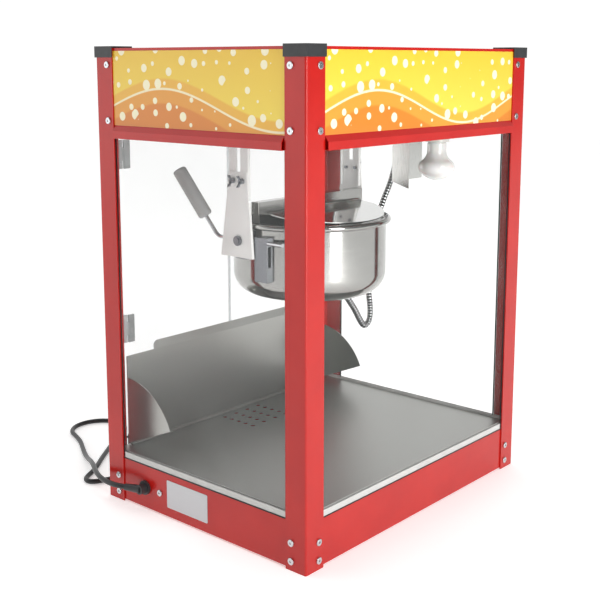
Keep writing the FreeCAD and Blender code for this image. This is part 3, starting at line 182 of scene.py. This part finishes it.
# %% Mesh helpers
def grid_faces(rows, columns):
    """Quads between rings: corner k is at ring i, place j with k = i * columns + j."""
    i = np.arange(rows - 1)[:, None]
    j = np.arange(columns)[None, :]
    after = (j + 1) % columns
    quads = np.stack([i * columns + j, i * columns + after,
                      (i + 1) * columns + after, (i + 1) * columns + j], axis=-1)
    return quads.reshape(-1, 4)


def end_fans(rows, columns):
    """Triangles from two middle points, which come after the rings, to the first and last ring."""
    j = np.arange(columns)
    after = (j + 1) % columns
    last = (rows - 1) * columns
    start = np.column_stack([np.full(columns, rows * columns), after, j])
    end = np.column_stack([np.full(columns, rows * columns + 1), last + j, last + after])
    return np.vstack([start, end])


def ringed(name, rings, uv, smooth=True):
    """A closed mesh from rings (rows, columns, 3), with one (u, v) for each point of a ring."""
    rows, columns = rings.shape[:2]
    points = np.vstack([rings.reshape(-1, 3), rings[0].mean(axis=0), rings[-1].mean(axis=0)])
    uv = np.vstack([uv.reshape(-1, 2), uv[0].mean(axis=0), uv[-1].mean(axis=0)])
    quads, fans = grid_faces(rows, columns), end_fans(rows, columns)
    mesh = bpy.data.meshes.new(name)
    mesh.from_pydata(points.tolist(), [], quads.tolist() + fans.tolist())
    mesh.polygons.foreach_set("use_smooth", np.full(len(mesh.polygons), smooth))
    corners = np.concatenate([quads.ravel(), fans.ravel()])
    mesh.uv_layers.new(name="map").data.foreach_set("uv", uv[corners].ravel().astype(np.float32))
    mesh.update()
    thing = bpy.data.objects.new(name, mesh)
    bpy.context.scene.collection.objects.link(thing)
    return thing


print("mesh helpers ready")

# %% [markdown]
# The conduit is a ribbed metal hose that carries the heater's wires from the ceiling to the kettle. Its
# ribs could be a bump in the shader, but the loop stands against the light, where only real ribs show.
# So they are a wave in the tube's radius, a little coarser than real ribs, because finer ones blur
# away. The real hose bends when the kettle tilts; this mesh keeps one fixed shape.

# %% Ribbed conduit
HOSE_WAY = np.array([
    (219, 0, 612), (219, 0, 588), (219, 2, 545), (209, 5, 500), (185, 11, 454), (169, 16, 405),
    (162, 19, 350), (162, 20, 300), (169, 20, 268), (167, 20, 244), (151, 20, 236),
    (137, 20, 252), (124, 20, 272), (110, 20, 288), (97, 20, 303), (90, 20, 316),
    (90, 20, 329.7)]) / 1000
HOSE_RADIUS = 0.0056
HOSE_GROOVE = 0.0012
HOSE_PITCH = 0.0054
HOSE_SIDES = 20
HOSE_LINE_STEPS = 16
RIB_STEPS = 8


def even_points(line, step):
    """Points at equal distances along a broken line, found by linear interpolation of length."""
    lengths = np.concatenate([[0.0], np.cumsum(np.linalg.norm(np.diff(line, axis=0), axis=1))])
    places = np.linspace(0, lengths[-1], int(round(lengths[-1] / step)) + 1)
    points = np.column_stack([np.interp(places, lengths, line[:, k]) for k in range(3)])
    return places, points


def tube_rings(points, radii, angle, steady):
    """Rings of a tube. Across is the steady direction made square to the line's direction."""
    way = np.gradient(points, axis=0)
    way /= np.linalg.norm(way, axis=1)[:, None]
    across = steady - way * (way @ steady)[:, None]
    across /= np.linalg.norm(across, axis=1)[:, None]
    third = np.cross(way, across)
    ring = across[:, None] * np.cos(angle)[:, None] + third[:, None] * np.sin(angle)[:, None]
    return points[:, None] + ring * radii[:, None, None]


bare = nurbs_line("bare_hose", HOSE_WAY, 0.0)
bare.data.resolution_u = HOSE_LINE_STEPS
hose_line = read_line(bare)
bpy.data.objects.remove(bare)
places, hose_points = even_points(hose_line, HOSE_PITCH / RIB_STEPS)
# The radius dips once for each rib. The fourth power of the sine makes the groove narrow.
hose_radii = HOSE_RADIUS - HOSE_GROOVE * np.sin(math.pi * places / HOSE_PITCH) ** 4
hose_angle = np.linspace(0, 2 * math.pi, HOSE_SIDES, endpoint=False)
hose_rings = tube_rings(hose_points, hose_radii, hose_angle, np.array([0.0, 1.0, 0.0]))
hose_uv = np.stack(np.meshgrid(np.abs(hose_angle / math.pi - 1), places), axis=-1)
hose = ringed("conduit_hose", hose_rings, hose_uv)
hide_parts("flexible_conduit")
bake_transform(hose)

# %% [markdown]
# Each finish below starts from the real material: its common name and how its surface was made.
# A ready-made texture picture would be quick, but it repeats and it blurs near to. So each finish
# is worked out by nodes, with marks of a real size. One small function adds a node, sets its
# values and links its sockets, and one turns the colours of a paint card into linear values.


# %% Shader helpers
def linear(hex_colour):
    """An sRGB hex colour as linear red, green, blue and full opacity."""
    parts = np.array([int(hex_colour[k:k + 2], 16) for k in (1, 3, 5)]) / 255.0
    low = parts / 12.92
    high = ((parts + 0.055) / 1.055) ** 2.4
    return (*np.where(parts <= 0.04045, low, high).tolist(), 1.0)


def add(tree, kind, inputs=None, **settings):
    """A shader node with its settings. Each input is a value, or another node's output to link."""
    made = tree.nodes.new(kind)
    for name, value in settings.items():
        setattr(made, name, value)
    for name, value in (inputs or {}).items():
        if isinstance(value, bpy.types.NodeSocket):
            tree.links.new(value, made.inputs[name])
        else:
            made.inputs[name].default_value = value
    return made


def finish(name, metallic, roughness, **sockets):
    """A new material, its tree and its shader, with uniform values set on the shader itself."""
    material = bpy.data.materials.new(name)
    material.use_nodes = True
    shader = material.node_tree.nodes["Principled BSDF"]
    shader.inputs["Metallic"].default_value = metallic
    shader.inputs["Roughness"].default_value = roughness
    for socket, value in sockets.items():
        shader.inputs[socket.replace("_", " ")].default_value = value
    return material, material.node_tree, shader


def per_mm(size):
    """The scale of a pattern whose marks are this many millimetres wide, in object metres."""
    return 1000.0 / size


def wear(material, *names):
    """Give CAD nodes a material."""
    for name in names:
        nodes[name].data.materials.clear()
        nodes[name].data.materials.append(material)


print("shader helpers ready")

# %% [markdown]
# The case is mild steel sheet with a glossy red powder coat. Powder melts into a thick film with
# a faint orange peel, so its reflections are bright but a little soft. A clear coat over the red
# would look like car paint, so one glossy layer with a shallow bump is used instead. The same
# pattern, a soft two-tone mottle with a fine grain, serves every moulded piece after it.

# %% Red powder coat
NOISE_LOW = 0.3
NOISE_HIGH = 0.7
BUMP_STRENGTH = 0.25


def mottle(tree, place, size, low, high):
    """A soft noise between two colours, with marks of the given size in millimetres."""
    noise = add(tree, "ShaderNodeTexNoise", {"Vector": place, "Scale": per_mm(size), "Detail": 3.0})
    share = add(tree, "ShaderNodeMapRange", {"Value": noise.outputs["Fac"],
                                             "From Min": NOISE_LOW, "From Max": NOISE_HIGH})
    return add(tree, "ShaderNodeMix", {0: share.outputs["Result"], 6: linear(low), 7: linear(high)},
               data_type="RGBA").outputs[2]


def moulded(name, low, high, roughness, mark, grain, depth, **sockets):
    """A body with a mottle of marks and a bump of grains, their sizes and depth in millimetres."""
    material, tree, shader = finish(name, 0.0, roughness, **sockets)
    place = add(tree, "ShaderNodeTexCoord").outputs["Object"]
    tree.links.new(mottle(tree, place, mark, low, high), shader.inputs["Base Color"])
    noise = add(tree, "ShaderNodeTexNoise", {"Vector": place, "Scale": per_mm(grain), "Detail": 2.0})
    bump = add(tree, "ShaderNodeBump", {"Strength": BUMP_STRENGTH, "Distance": depth / 1000,
                                        "Height": noise.outputs["Fac"]})
    tree.links.new(bump.outputs["Normal"], shader.inputs["Normal"])
    return material


# Baked powder: the orange peel is about 2 mm across, and gives the edges of reflections a ripple.
powder_coat = moulded("red_powder_coat", "#B4120C", "#BD170F", 0.24, 60, 2.2, 0.06)
wear(powder_coat, "post_front_left", "post_front_right", "post_back_left", "post_back_right",
     "header_front", "header_back", "header_left", "header_right", "base_rail_front",
     "base_rail_back", "base_rail_left", "base_rail_right", "kernel_drawer")
print("red powder coat on the case")

# %% [markdown]
# The caps, the gland, the plug, the knobs and the switch bodies are moulded black plastic, and
# the cord is soft rubber. A pure black would show no form, so each is a dark grey with a grain.

# %% Black plastic and rubber
# Moulded ABS: the mould's eroded grain spreads the light, so the caps look grey where they shine.
cap_plastic = moulded("black_moulded_plastic", "#2B2C2E", "#343537", 0.42, 9, 0.9, 0.05)
wear(cap_plastic, "post_caps", "cable_gland", "mains_plug", "switch_bodies", "door_left_knob",
     "door_right_knob")

# Extruded rubber: darker and smoother, with a long soft shine along the lead.
lead_sheath = moulded("black_cord_sheath", "#1A1B1C", "#242527", 0.38, 6, 1.6, 0.05)
cord.data.materials.append(lead_sheath)
wear(lead_sheath, "cord_tie")
print("black plastic and rubber done")

# %% [markdown]
# The metal inside is stainless sheet. Rolled sheet has fine lines along one direction, which
# smear its reflections. An anisotropic shader would do this too, but the exported model loses it.
# So a noise is stretched along the rolling direction, and it sets tint, roughness and bump. The
# real lines are about 0.1 mm wide. They are drawn 1.6 mm wide, because finer ones wouldn't show.

# %% Steel sheet
LINE_MM = 1.6
LINE_LOW = 0.25
LINE_HIGH = 0.75


def rolled(name, light, dark, smooth, rough, stretch, depth=0.006):
    """Steel with lines along the axis of least stretch. Noise sets tint, roughness and bump."""
    material, tree, shader = finish(name, 1.0, (smooth + rough) / 2)
    place = add(tree, "ShaderNodeTexCoord").outputs["Object"]
    lines = add(tree, "ShaderNodeMapping", {"Vector": place, "Scale": stretch})
    noise = add(tree, "ShaderNodeTexNoise", {"Vector": lines.outputs["Vector"],
                                             "Scale": per_mm(LINE_MM), "Detail": 4.0}).outputs["Fac"]
    spread = add(tree, "ShaderNodeMapRange", {"Value": noise, "From Min": LINE_LOW,
                                              "From Max": LINE_HIGH, "To Min": smooth,
                                              "To Max": rough})
    tint = add(tree, "ShaderNodeMix", {0: noise, 6: linear(dark), 7: linear(light)},
               data_type="RGBA")
    bump = add(tree, "ShaderNodeBump", {"Distance": depth / 1000, "Height": noise})
    tree.links.new(spread.outputs["Result"], shader.inputs["Roughness"])
    tree.links.new(tint.outputs[2], shader.inputs["Base Color"])
    tree.links.new(bump.outputs["Normal"], shader.inputs["Normal"])
    return material


# Brushed stainless: the deck and the guard are grey and blurred, with lines across the machine.
deck_steel = rolled("brushed_deck_steel", "#AEAEAA", "#9C9C99", 0.34, 0.46, (0.03, 1.0, 1.0))
guard_steel = rolled("satin_guard_steel", "#B8B8B4", "#A6A6A2", 0.28, 0.38, (0.03, 1.0, 1.0))
wear(deck_steel, "deck")
wear(guard_steel, "scoop_guard")

# Spun stainless: polished on a lathe, so its lines go round it and its streaks stand upright.
kettle_steel = rolled("spun_kettle_steel", "#B0AFAC", "#9C9B98", 0.09, 0.15, (0.05, 0.05, 1.0), 0.05)
wear(kettle_steel, "kettle_shell", "kettle_pan", "kettle_bridge", "stirrer_shaft",
     "stirrer_paddle")

# Plain sheet: cut and folded as it left the mill, pale and half bright.
pan_steel = rolled("plain_sheet_steel", "#E2E2DF", "#D4D4D0", 0.20, 0.30, (1.0, 1.0, 0.05))
wear(pan_steel, "top_cover", "base_pan", "lamp_shield")

# Dull sheet: the ceiling is unpolished, so it adds no bright spot above the kettle.
dull_steel = rolled("dull_ceiling_steel", "#7E7E7B", "#70706E", 0.45, 0.60, (0.05, 1.0, 1.0))
wear(dull_steel, "ceiling_plate")
print("steel sheet done")

# %% [markdown]
# The lids are polished to a mirror, and the rod, the screws and the hose are zinc plated. Plating
# follows every mark of the metal under it, so it keeps a little more spread than the polish. The hose
# also has painted shade in its grooves: a dark colour between the ribs. Its mask could be drawn by
# hand, but the map that the mesh carries already counts metres along the hose, so a sine of it finds
# each groove.

# %% Bright metal
GROOVE_SHADE_END = -0.3
RIB_START = 0.5

# Mirror polish: almost no spread, so the lids show the dark header above them.
mirror_steel = rolled("mirror_lid_steel", "#D8D8D6", "#CDCDCB", 0.05, 0.10, (0.3, 0.3, 0.3), 0.002)
wear(mirror_steel, "lid_front", "lid_back")

# Zinc plate: a cool grey with a slightly cloudy shine.
zinc_plate = rolled("bright_zinc_plate", "#D5D6D8", "#BEC0C3", 0.16, 0.30, (0.6, 0.6, 0.6))
wear(zinc_plate, "case_screws", "lever_rod", "gear_motor", "heater_plate")

# Cast zinc: the wing screws and the kettle's brackets keep the rough skin of the mould, so they
# are darker than the plates.
cast_zinc = rolled("cast_zinc", "#8F9297", "#7B7E83", 0.28, 0.42, (0.6, 0.6, 0.6))
wear(cast_zinc, "wing_screws", "kettle_ears")

# Plated hose: bright on the ribs, with painted shade in the grooves between them.
hose_plate, tree, shader = finish("ribbed_hose_plate_groove_shade", 1.0, 0.26)
axes = add(tree, "ShaderNodeSeparateXYZ", {"Vector": add(tree, "ShaderNodeTexCoord").outputs["UV"]})
phase = add(tree, "ShaderNodeMath", {0: axes.outputs["Y"], 1: 2 * math.pi / HOSE_PITCH},
            operation="MULTIPLY")
rib = add(tree, "ShaderNodeMath", {0: phase.outputs[0]}, operation="COSINE")
# Painted shade: dark in each groove, the plating colour on the ribs.
groove_shade_mask = add(tree, "ShaderNodeMapRange", {"Value": rib.outputs[0], "From Min": GROOVE_SHADE_END,
                                        "From Max": RIB_START})
tint = add(tree, "ShaderNodeMix", {0: groove_shade_mask.outputs["Result"], 6: linear("#1A1B1C"),
                                   7: linear("#DCDDDF")}, data_type="RGBA")
tree.links.new(tint.outputs[2], shader.inputs["Base Color"])
hose.data.materials.append(hose_plate)
print("bright metal done")

# %% [markdown]
# The panes are float glass and the doors are acrylic sheet. A full glass shader bends light at
# each face and makes noise in a thin pane, so these are see-through sheets with a glossy face.
# A faint haze of wiping marks varies their opacity, and the doors' sawn meeting edges are grey.

# %% Clear sheets
HAZE_MM = 80
SAWN_EDGE = 0.0028
SAWN_HAZE = 0.5


def clear_sheet(name, tint, low, high, roughness, sawn=False):
    """Opacity is a soft noise from low to high, raised close to the plane X = 0 where it is sawn."""
    material, tree, shader = finish(name, 0.0, roughness, IOR=1.5, Base_Color=linear(tint))
    place = add(tree, "ShaderNodeTexCoord").outputs["Object"]
    noise = add(tree, "ShaderNodeTexNoise", {"Vector": place, "Scale": per_mm(HAZE_MM),
                                             "Detail": 4.0})
    haze = add(tree, "ShaderNodeMapRange", {"Value": noise.outputs["Fac"],
                                            "From Min": NOISE_LOW, "From Max": NOISE_HIGH,
                                            "To Min": low, "To Max": high})
    opacity = haze.outputs["Result"]
    if sawn:
        axes = add(tree, "ShaderNodeSeparateXYZ", {"Vector": place})
        aside = add(tree, "ShaderNodeMath", {0: axes.outputs["X"]}, operation="ABSOLUTE")
        edge = add(tree, "ShaderNodeMapRange", {"Value": aside.outputs[0], "From Min": SAWN_EDGE,
                                                "From Max": SAWN_EDGE / 2, "To Min": 0.0,
                                                "To Max": SAWN_HAZE})
        opacity = add(tree, "ShaderNodeMath", {0: opacity, 1: edge.outputs["Result"]},
                      operation="MAXIMUM").outputs[0]
    tree.links.new(opacity, shader.inputs["Alpha"])
    return material


# Float glass: flat and clear, with a sharp faint reflection. The left pane is a copy with more opacity
# and a paler tint, a painted reflection of the bright room on that side.
wear(clear_sheet("clear_float_glass", "#E8F2EF", 0.012, 0.024, 0.03), "glass_front", "glass_right")
wear(clear_sheet("float_glass_painted_reflection", "#F2F6F5", 0.03, 0.055, 0.05), "glass_left")

# Cast acrylic: a little softer than glass.
wear(clear_sheet("clear_door_acrylic", "#C3CACC", 0.03, 0.05, 0.05, sawn=True), "door_left",
     "door_right")
print("clear sheets done")

# %% [markdown]
# Smaller fittings: the hinges, the lever's grip, the channels under the panes, the hangers, the
# bulb in its holder, and the rocker switches. Each could have a finish of its own kind. Their
# shapes are in CAD already, so one moulded finish with other colours and grains is enough.

# %% Small fittings
# Moulded nylon hinges and a soft grip: matt greys.
wear(moulded("grey_hinge_plastic", "#B9BBBB", "#C6C8C8", 0.4, 12, 1.2, 0.04), "hinge_blocks",
     "door_left_leaves", "door_right_leaves")
wear(moulded("grey_grip_plastic", "#989897", "#A2A2A1", 0.55, 14, 1.2, 0.04), "lever_grip")

# Extruded channel: a pale satin line under each pane.
wear(moulded("pale_channel_profile", "#C4C4C1", "#CECECB", 0.35, 25, 1.2, 0.03), "glass_channels")

# Hanger sheet: the steel is drawn white, matt and even, a painted reflection of the bright room, so it
# stays pale although the red posts are close.
wear(moulded("white_sheet_painted_reflection", "#F3F3F1", "#F8F8F6", 0.3, 40, 2.2, 0.03), "hanger_plates",
     "hangers")

# Blown opal glass and glazed ceramic: white and smooth, with a clear highlight.
wear(moulded("opal_bulb_glass", "#EDEDEA", "#F4F4F1", 0.12, 30, 1.2, 0.01, Coat_Weight=0.5,
             Subsurface_Weight=0.15), "bulb")
wear(moulded("glazed_ceramic", "#E6E4DE", "#EFEDE7", 0.25, 15, 1.2, 0.02), "lamp_holder")

# Tinted rocker caps: glossy red plastic.
wear(moulded("red_rocker_plastic", "#B01812", "#C2201A", 0.25, 8, 1.2, 0.02, Coat_Weight=0.4),
     "rocker_heat", "rocker_stir", "rocker_lamp")
print("small fittings done")

# %% [markdown]
# The header panels carry a printed film, and the left rail carries a blank silver plate. Both are
# thin sheets with round corners and a soft front edge. A bevelled cube would do, but it has no
# round corners, so an outline made of four quarter circles is set at three depths and closed.

# %% Thin sheets
FILM_LOW = 0.6105
FILM_TALL = 0.1123
FILM_FRONT_HALF = 0.2415
FILM_SIDE_HALF = 0.1765
FILM_RADIUS = 0.0015
FILM_THICK = 0.0002
PLATE_LOW = 0.018
PLATE_TALL = 0.045
PLATE_HALF = 0.0455
PLATE_MIDDLE = -0.0285
PLATE_RADIUS = 0.002
PLATE_THICK = 0.0004
CASE_HALF_WIDE = 0.278
CASE_HALF_DEEP = 0.213
SHEET_GAP = 0.0001
SOFT_EDGE = 0.0001
CORNER_STEPS = 8


def round_corners(half, tall, radius):
    """Quarter circles at the four corners of a rectangle, in order, as (along, up) points."""
    side = np.array([(1, 1), (-1, 1), (-1, -1), (1, -1)])
    angle = np.linspace(0, math.pi / 2, CORNER_STEPS) + np.arange(4)[:, None] * math.pi / 2
    along = side[:, :1] * (half - radius) + radius * np.cos(angle)
    up = tall / 2 + side[:, 1:] * (tall / 2 - radius) + radius * np.sin(angle)
    return np.column_stack([along.ravel(), up.ravel()])


def thin_sheet(name, half, low, tall, radius, face, thick, turn, middle=0.0):
    """Outlines at the back, behind the soft edge and in front, turned about Z to a side of the case."""
    outline = round_corners(half, tall, radius)
    front = round_corners(half - SOFT_EDGE, tall - 2 * SOFT_EDGE, radius) + [0, SOFT_EDGE]
    flat = np.stack([outline, outline, front])
    out = face + SHEET_GAP + np.array([0.0, thick - SOFT_EDGE, thick])
    x = flat[..., 0] + middle
    y = np.broadcast_to(-out[:, None], x.shape)
    rings = np.stack([x * math.cos(turn) - y * math.sin(turn),
                      x * math.sin(turn) + y * math.cos(turn), flat[..., 1] + low], axis=-1)
    sheet = ringed(name, rings, (flat + [half, 0]) / tall, smooth=False)
    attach(sheet, "cabinet")
    return sheet


films = [thin_sheet(f"header_film_{side}", half, FILM_LOW, FILM_TALL, FILM_RADIUS, face,
                    FILM_THICK, turn)
         for side, half, face, turn in (
             ("front", FILM_FRONT_HALF, CASE_HALF_DEEP, 0.0),
             ("left", FILM_SIDE_HALF, CASE_HALF_WIDE, -math.pi / 2),
             ("right", FILM_SIDE_HALF, CASE_HALF_WIDE, math.pi / 2))]
blank_plate = thin_sheet("blank_plate", PLATE_HALF, PLATE_LOW, PLATE_TALL, PLATE_RADIUS,
                         CASE_HALF_WIDE, PLATE_THICK, -math.pi / 2, PLATE_MIDDLE)

# Silver foil: a plain satin sheet, a little darker than the plating.
blank_plate.data.materials.append(rolled("silver_plate_foil", "#C6C7C9", "#BBBCBE", 0.4, 0.5,
                                         (1.0, 0.05, 1.0)))
print("thin sheets", [sheet.name for sheet in films], blank_plate.name)

# %% [markdown]
# The film is clear polyester, printed on its back, so its colours lie under a smooth gloss. A
# picture could hold the print, but then it blurs near to. So the shader draws it on the sheet's
# own map, where one unit is the film's height: a yellow field, an orange wave with a pale edge,
# and a scatter of cream discs.

# %% Print on the films
WAVE_RATE = 1.55
WAVE_HALF = 0.24
WAVE_MIDDLE = 0.26
WAVE_BANDS = (("#E9B138", -0.16, -0.12), ("#F4E8C0", -0.03, -0.015), ("#E39A33", 0.0, 0.012),
              ("#D98122", 0.16, 0.20))
DISC_PITCH_MM = 27
DISC_REACH = 0.30
DISC_EDGE = 0.02
DISC_SPREAD = 0.85

film_print, tree, shader = finish("printed_polyester_film", 0.0, 0.3, Coat_Weight=0.2)
uv = add(tree, "ShaderNodeTexCoord").outputs["UV"]
axes = add(tree, "ShaderNodeSeparateXYZ", {"Vector": uv})
painted = add(tree, "ShaderNodeMix", {0: axes.outputs["Y"], 6: linear("#F1D750"),
                                      7: linear("#EABF34")}, data_type="RGBA").outputs[2]
angle = add(tree, "ShaderNodeMath", {0: axes.outputs["X"], 1: WAVE_RATE}, operation="MULTIPLY")
wave = add(tree, "ShaderNodeMath", {0: angle.outputs[0]}, operation="SINE")
crest = add(tree, "ShaderNodeMath", {0: wave.outputs[0], 1: WAVE_HALF, 2: WAVE_MIDDLE},
            operation="MULTIPLY_ADD")
under = add(tree, "ShaderNodeMath", {0: crest.outputs[0], 1: axes.outputs["Y"]},
            operation="SUBTRACT")
for colour, start, end in WAVE_BANDS:
    mask = add(tree, "ShaderNodeMapRange", {"Value": under.outputs[0], "From Min": start,
                                            "From Max": end}, interpolation_type="SMOOTHSTEP")
    painted = add(tree, "ShaderNodeMix", {0: mask.outputs["Result"], 6: painted, 7: linear(colour)},
                  data_type="RGBA").outputs[2]
cells = add(tree, "ShaderNodeTexVoronoi", {"Vector": uv, "Scale": FILM_TALL * per_mm(DISC_PITCH_MM),
                                           "Randomness": DISC_SPREAD}, voronoi_dimensions="2D")
sizes = add(tree, "ShaderNodeSeparateColor", {"Color": cells.outputs["Color"]})
reach = add(tree, "ShaderNodeMath", {0: sizes.outputs["Red"], 1: DISC_REACH}, operation="MULTIPLY")
inside = add(tree, "ShaderNodeMath", {0: reach.outputs[0], 1: cells.outputs["Distance"]},
             operation="SUBTRACT")
disc = add(tree, "ShaderNodeMapRange", {"Value": inside.outputs[0], "From Min": 0.0,
                                        "From Max": DISC_EDGE}, interpolation_type="SMOOTHSTEP")
painted = add(tree, "ShaderNodeMix", {0: disc.outputs["Result"], 6: painted, 7: linear("#F6EECB")},
              data_type="RGBA").outputs[2]
tree.links.new(painted, shader.inputs["Base Color"])
for sheet in films:
    sheet.data.materials.append(film_print)
print("print done")

# %% [markdown]
# Black rubber seals stand between the posts' edges and the panes, and a thin gasket lies under each
# channel. Their black is also a painted shadow: dark strips that stand in for the shadow in the narrow
# gaps there. They could be bevelled bars, but real seals have soft sides, so each is a squarish oval
# carried along a straight line.

# %% Seals
SEAL_LOW = 0.0735
SEAL_HIGH = 0.5900
SEAL_SIDE_X = 0.27715
SEAL_SIDE_Y = 0.1758
SEAL_FRONT_X = 0.2408
SEAL_FRONT_Y = 0.21215
GASKET_Z = 0.0739
GASKET_X = 0.2779
GASKET_Y = 0.2129
GASKET_SIDE_HALF = 0.1755
GASKET_FRONT_HALF = 0.2405
GASKET_HALF = (0.0005, 0.0009)
SEAL_HALF_WIDE = 0.0013
SEAL_HALF_THIN = 0.0007
OVAL_POINTS = 16
OVAL_POWER = 0.5


def strip(name, half_across, half_out, start, end):
    """A squarish oval, its cosine and sine raised to a power below one, at both ends of a line."""
    start, end = np.array(start), np.array(end)
    way = (end - start) / np.linalg.norm(end - start)
    out = np.array([0.0, 0.0, 1.0]) if abs(way[2]) < 0.5 else np.array([1.0, 0.0, 0.0])
    across = np.cross(out, way)
    angle = np.linspace(0, 2 * math.pi, OVAL_POINTS, endpoint=False)
    c, s = np.cos(angle)[:, None], np.sin(angle)[:, None]
    ring = (across * half_across * np.sign(c) * np.abs(c) ** OVAL_POWER
            + out * half_out * np.sign(s) * np.abs(s) ** OVAL_POWER)
    turn = np.abs(angle / math.pi - 1)
    uv = np.stack([np.column_stack([turn, np.full(OVAL_POINTS, v)]) for v in (0.0, 1.0)])
    return ringed(name, np.stack([start + ring, end + ring]), uv)


# Extruded rubber: matt and almost black, so it reads as a dark line beside the glass. The line is both
# the rubber and a painted shadow of the gap there.
rubber_and_gap_shadow = moulded("black_rubber_and_gap_shadow", "#141415", "#1C1C1D", 0.6, 7, 1.2, 0.04)
seals = [strip("gasket_front", *GASKET_HALF, (-GASKET_FRONT_HALF, -GASKET_Y, GASKET_Z),
               (GASKET_FRONT_HALF, -GASKET_Y, GASKET_Z))]
for hand, sx in (("left", -1), ("right", 1)):
    seals.append(strip(f"gasket_{hand}", *GASKET_HALF,
                       (sx * GASKET_X, -GASKET_SIDE_HALF, GASKET_Z),
                       (sx * GASKET_X, GASKET_SIDE_HALF, GASKET_Z)))
    seals.append(strip(f"seal_front_{hand}", SEAL_HALF_THIN, SEAL_HALF_WIDE,
                       (sx * SEAL_FRONT_X, -SEAL_FRONT_Y, SEAL_LOW),
                       (sx * SEAL_FRONT_X, -SEAL_FRONT_Y, SEAL_HIGH)))
    for end, sy in (("front", -1), ("back", 1)):
        seals.append(strip(f"seal_{hand}_{end}", SEAL_HALF_WIDE, SEAL_HALF_THIN,
                           (sx * SEAL_SIDE_X, sy * SEAL_SIDE_Y, SEAL_LOW),
                           (sx * SEAL_SIDE_X, sy * SEAL_SIDE_Y, SEAL_HIGH)))
for seal in seals:
    seal.data.materials.append(rubber_and_gap_shadow)
    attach(seal, "cabinet")
print("seals", len(seals))

# %% [markdown]
# The studio is a pale light table in front of a bright backdrop, in a dimmer room. The table glows
# a little more far off, so no line shows where it meets the backdrop. A single lamp would leave
# hard shadows, so three large soft lamps are used: one lights the front, one hangs above, and one
# behind the left corner shines along the side and gives the red a pale sheen.

# %% Studio
FLOOR_HALF = 8.0
FLOOR_GLOW = 0.42
FAR_GLOW = 0.50
GLOW_START = 0.8
GLOW_END = 3.0
ROOM_LIGHT = 0.22
BACKDROP_LIGHT = 1.04
BACKDROP_TURN = 0.3
BACKDROP_START = -0.1
BACKDROP_FULL = 0.5

floor_mesh = bpy.data.meshes.new("floor")
floor_mesh.from_pydata([(-FLOOR_HALF, -FLOOR_HALF, 0), (FLOOR_HALF, -FLOOR_HALF, 0),
                        (FLOOR_HALF, FLOOR_HALF, 0), (-FLOOR_HALF, FLOOR_HALF, 0)], [],
                       [(0, 1, 2, 3)])
floor = bpy.data.objects.new("floor", floor_mesh)
bpy.context.scene.collection.objects.link(floor)
floor_paint, tree, shader = finish("pale_studio_floor", 0.0, 0.7, Base_Color=linear("#F4F4F3"),
                                   Emission_Color=linear("#FFFFFF"))
away = add(tree, "ShaderNodeVectorMath", {0: add(tree, "ShaderNodeTexCoord").outputs["Object"]},
           operation="LENGTH")
glow = add(tree, "ShaderNodeMapRange", {"Value": away.outputs["Value"], "From Min": GLOW_START,
                                        "From Max": GLOW_END, "To Min": FLOOR_GLOW,
                                        "To Max": FAR_GLOW})
tree.links.new(glow.outputs["Result"], shader.inputs["Emission Strength"])
floor.data.materials.append(floor_paint)

world = bpy.data.worlds.new("studio_room")
world.use_nodes = True
tree = world.node_tree
sky = tree.nodes["Background"]
way = add(tree, "ShaderNodeSeparateXYZ",
          {"Vector": add(tree, "ShaderNodeTexCoord").outputs["Generated"]})
behind = add(tree, "ShaderNodeMath", {0: way.outputs["X"], 1: BACKDROP_TURN, 2: way.outputs["Y"]},
             operation="MULTIPLY_ADD")
glow = add(tree, "ShaderNodeMapRange", {"Value": behind.outputs[0], "From Min": BACKDROP_START,
                                        "From Max": BACKDROP_FULL, "To Min": ROOM_LIGHT,
                                        "To Max": BACKDROP_LIGHT}, interpolation_type="SMOOTHSTEP")
tree.links.new(glow.outputs["Result"], sky.inputs["Strength"])
sky.inputs["Color"].default_value = linear("#FFFFFF")
bpy.context.scene.world = world
bpy.context.scene.view_settings.view_transform = "Standard"


def soft_lamp(name, place, target, wide, tall, power):
    """A rectangular area lamp that looks at a point: its sizes in metres, its power in watts."""
    data = bpy.data.lights.new(name, "AREA")
    data.shape = "RECTANGLE"
    data.size = wide
    data.size_y = tall
    data.energy = power
    lamp = bpy.data.objects.new(name, data)
    lamp.location = place
    lamp.rotation_mode = "QUATERNION"
    lamp.rotation_quaternion = (Vector(target) - Vector(place)).to_track_quat("-Z", "Y")
    bpy.context.scene.collection.objects.link(lamp)


soft_lamp("front_softbox", (-0.45, -2.3, 0.98), (0, 0, 0.6), wide=0.7, tall=1.9, power=45)
soft_lamp("top_softbox", (0.0, 0.2, 3.0), (0, 0, 0.3), wide=2.2, tall=2.2, power=14)
soft_lamp("corner_softbox", (-2.4, 2.1, 0.9), (0, 0, 0.35), wide=1.6, tall=1.6, power=6)
print("studio ready")
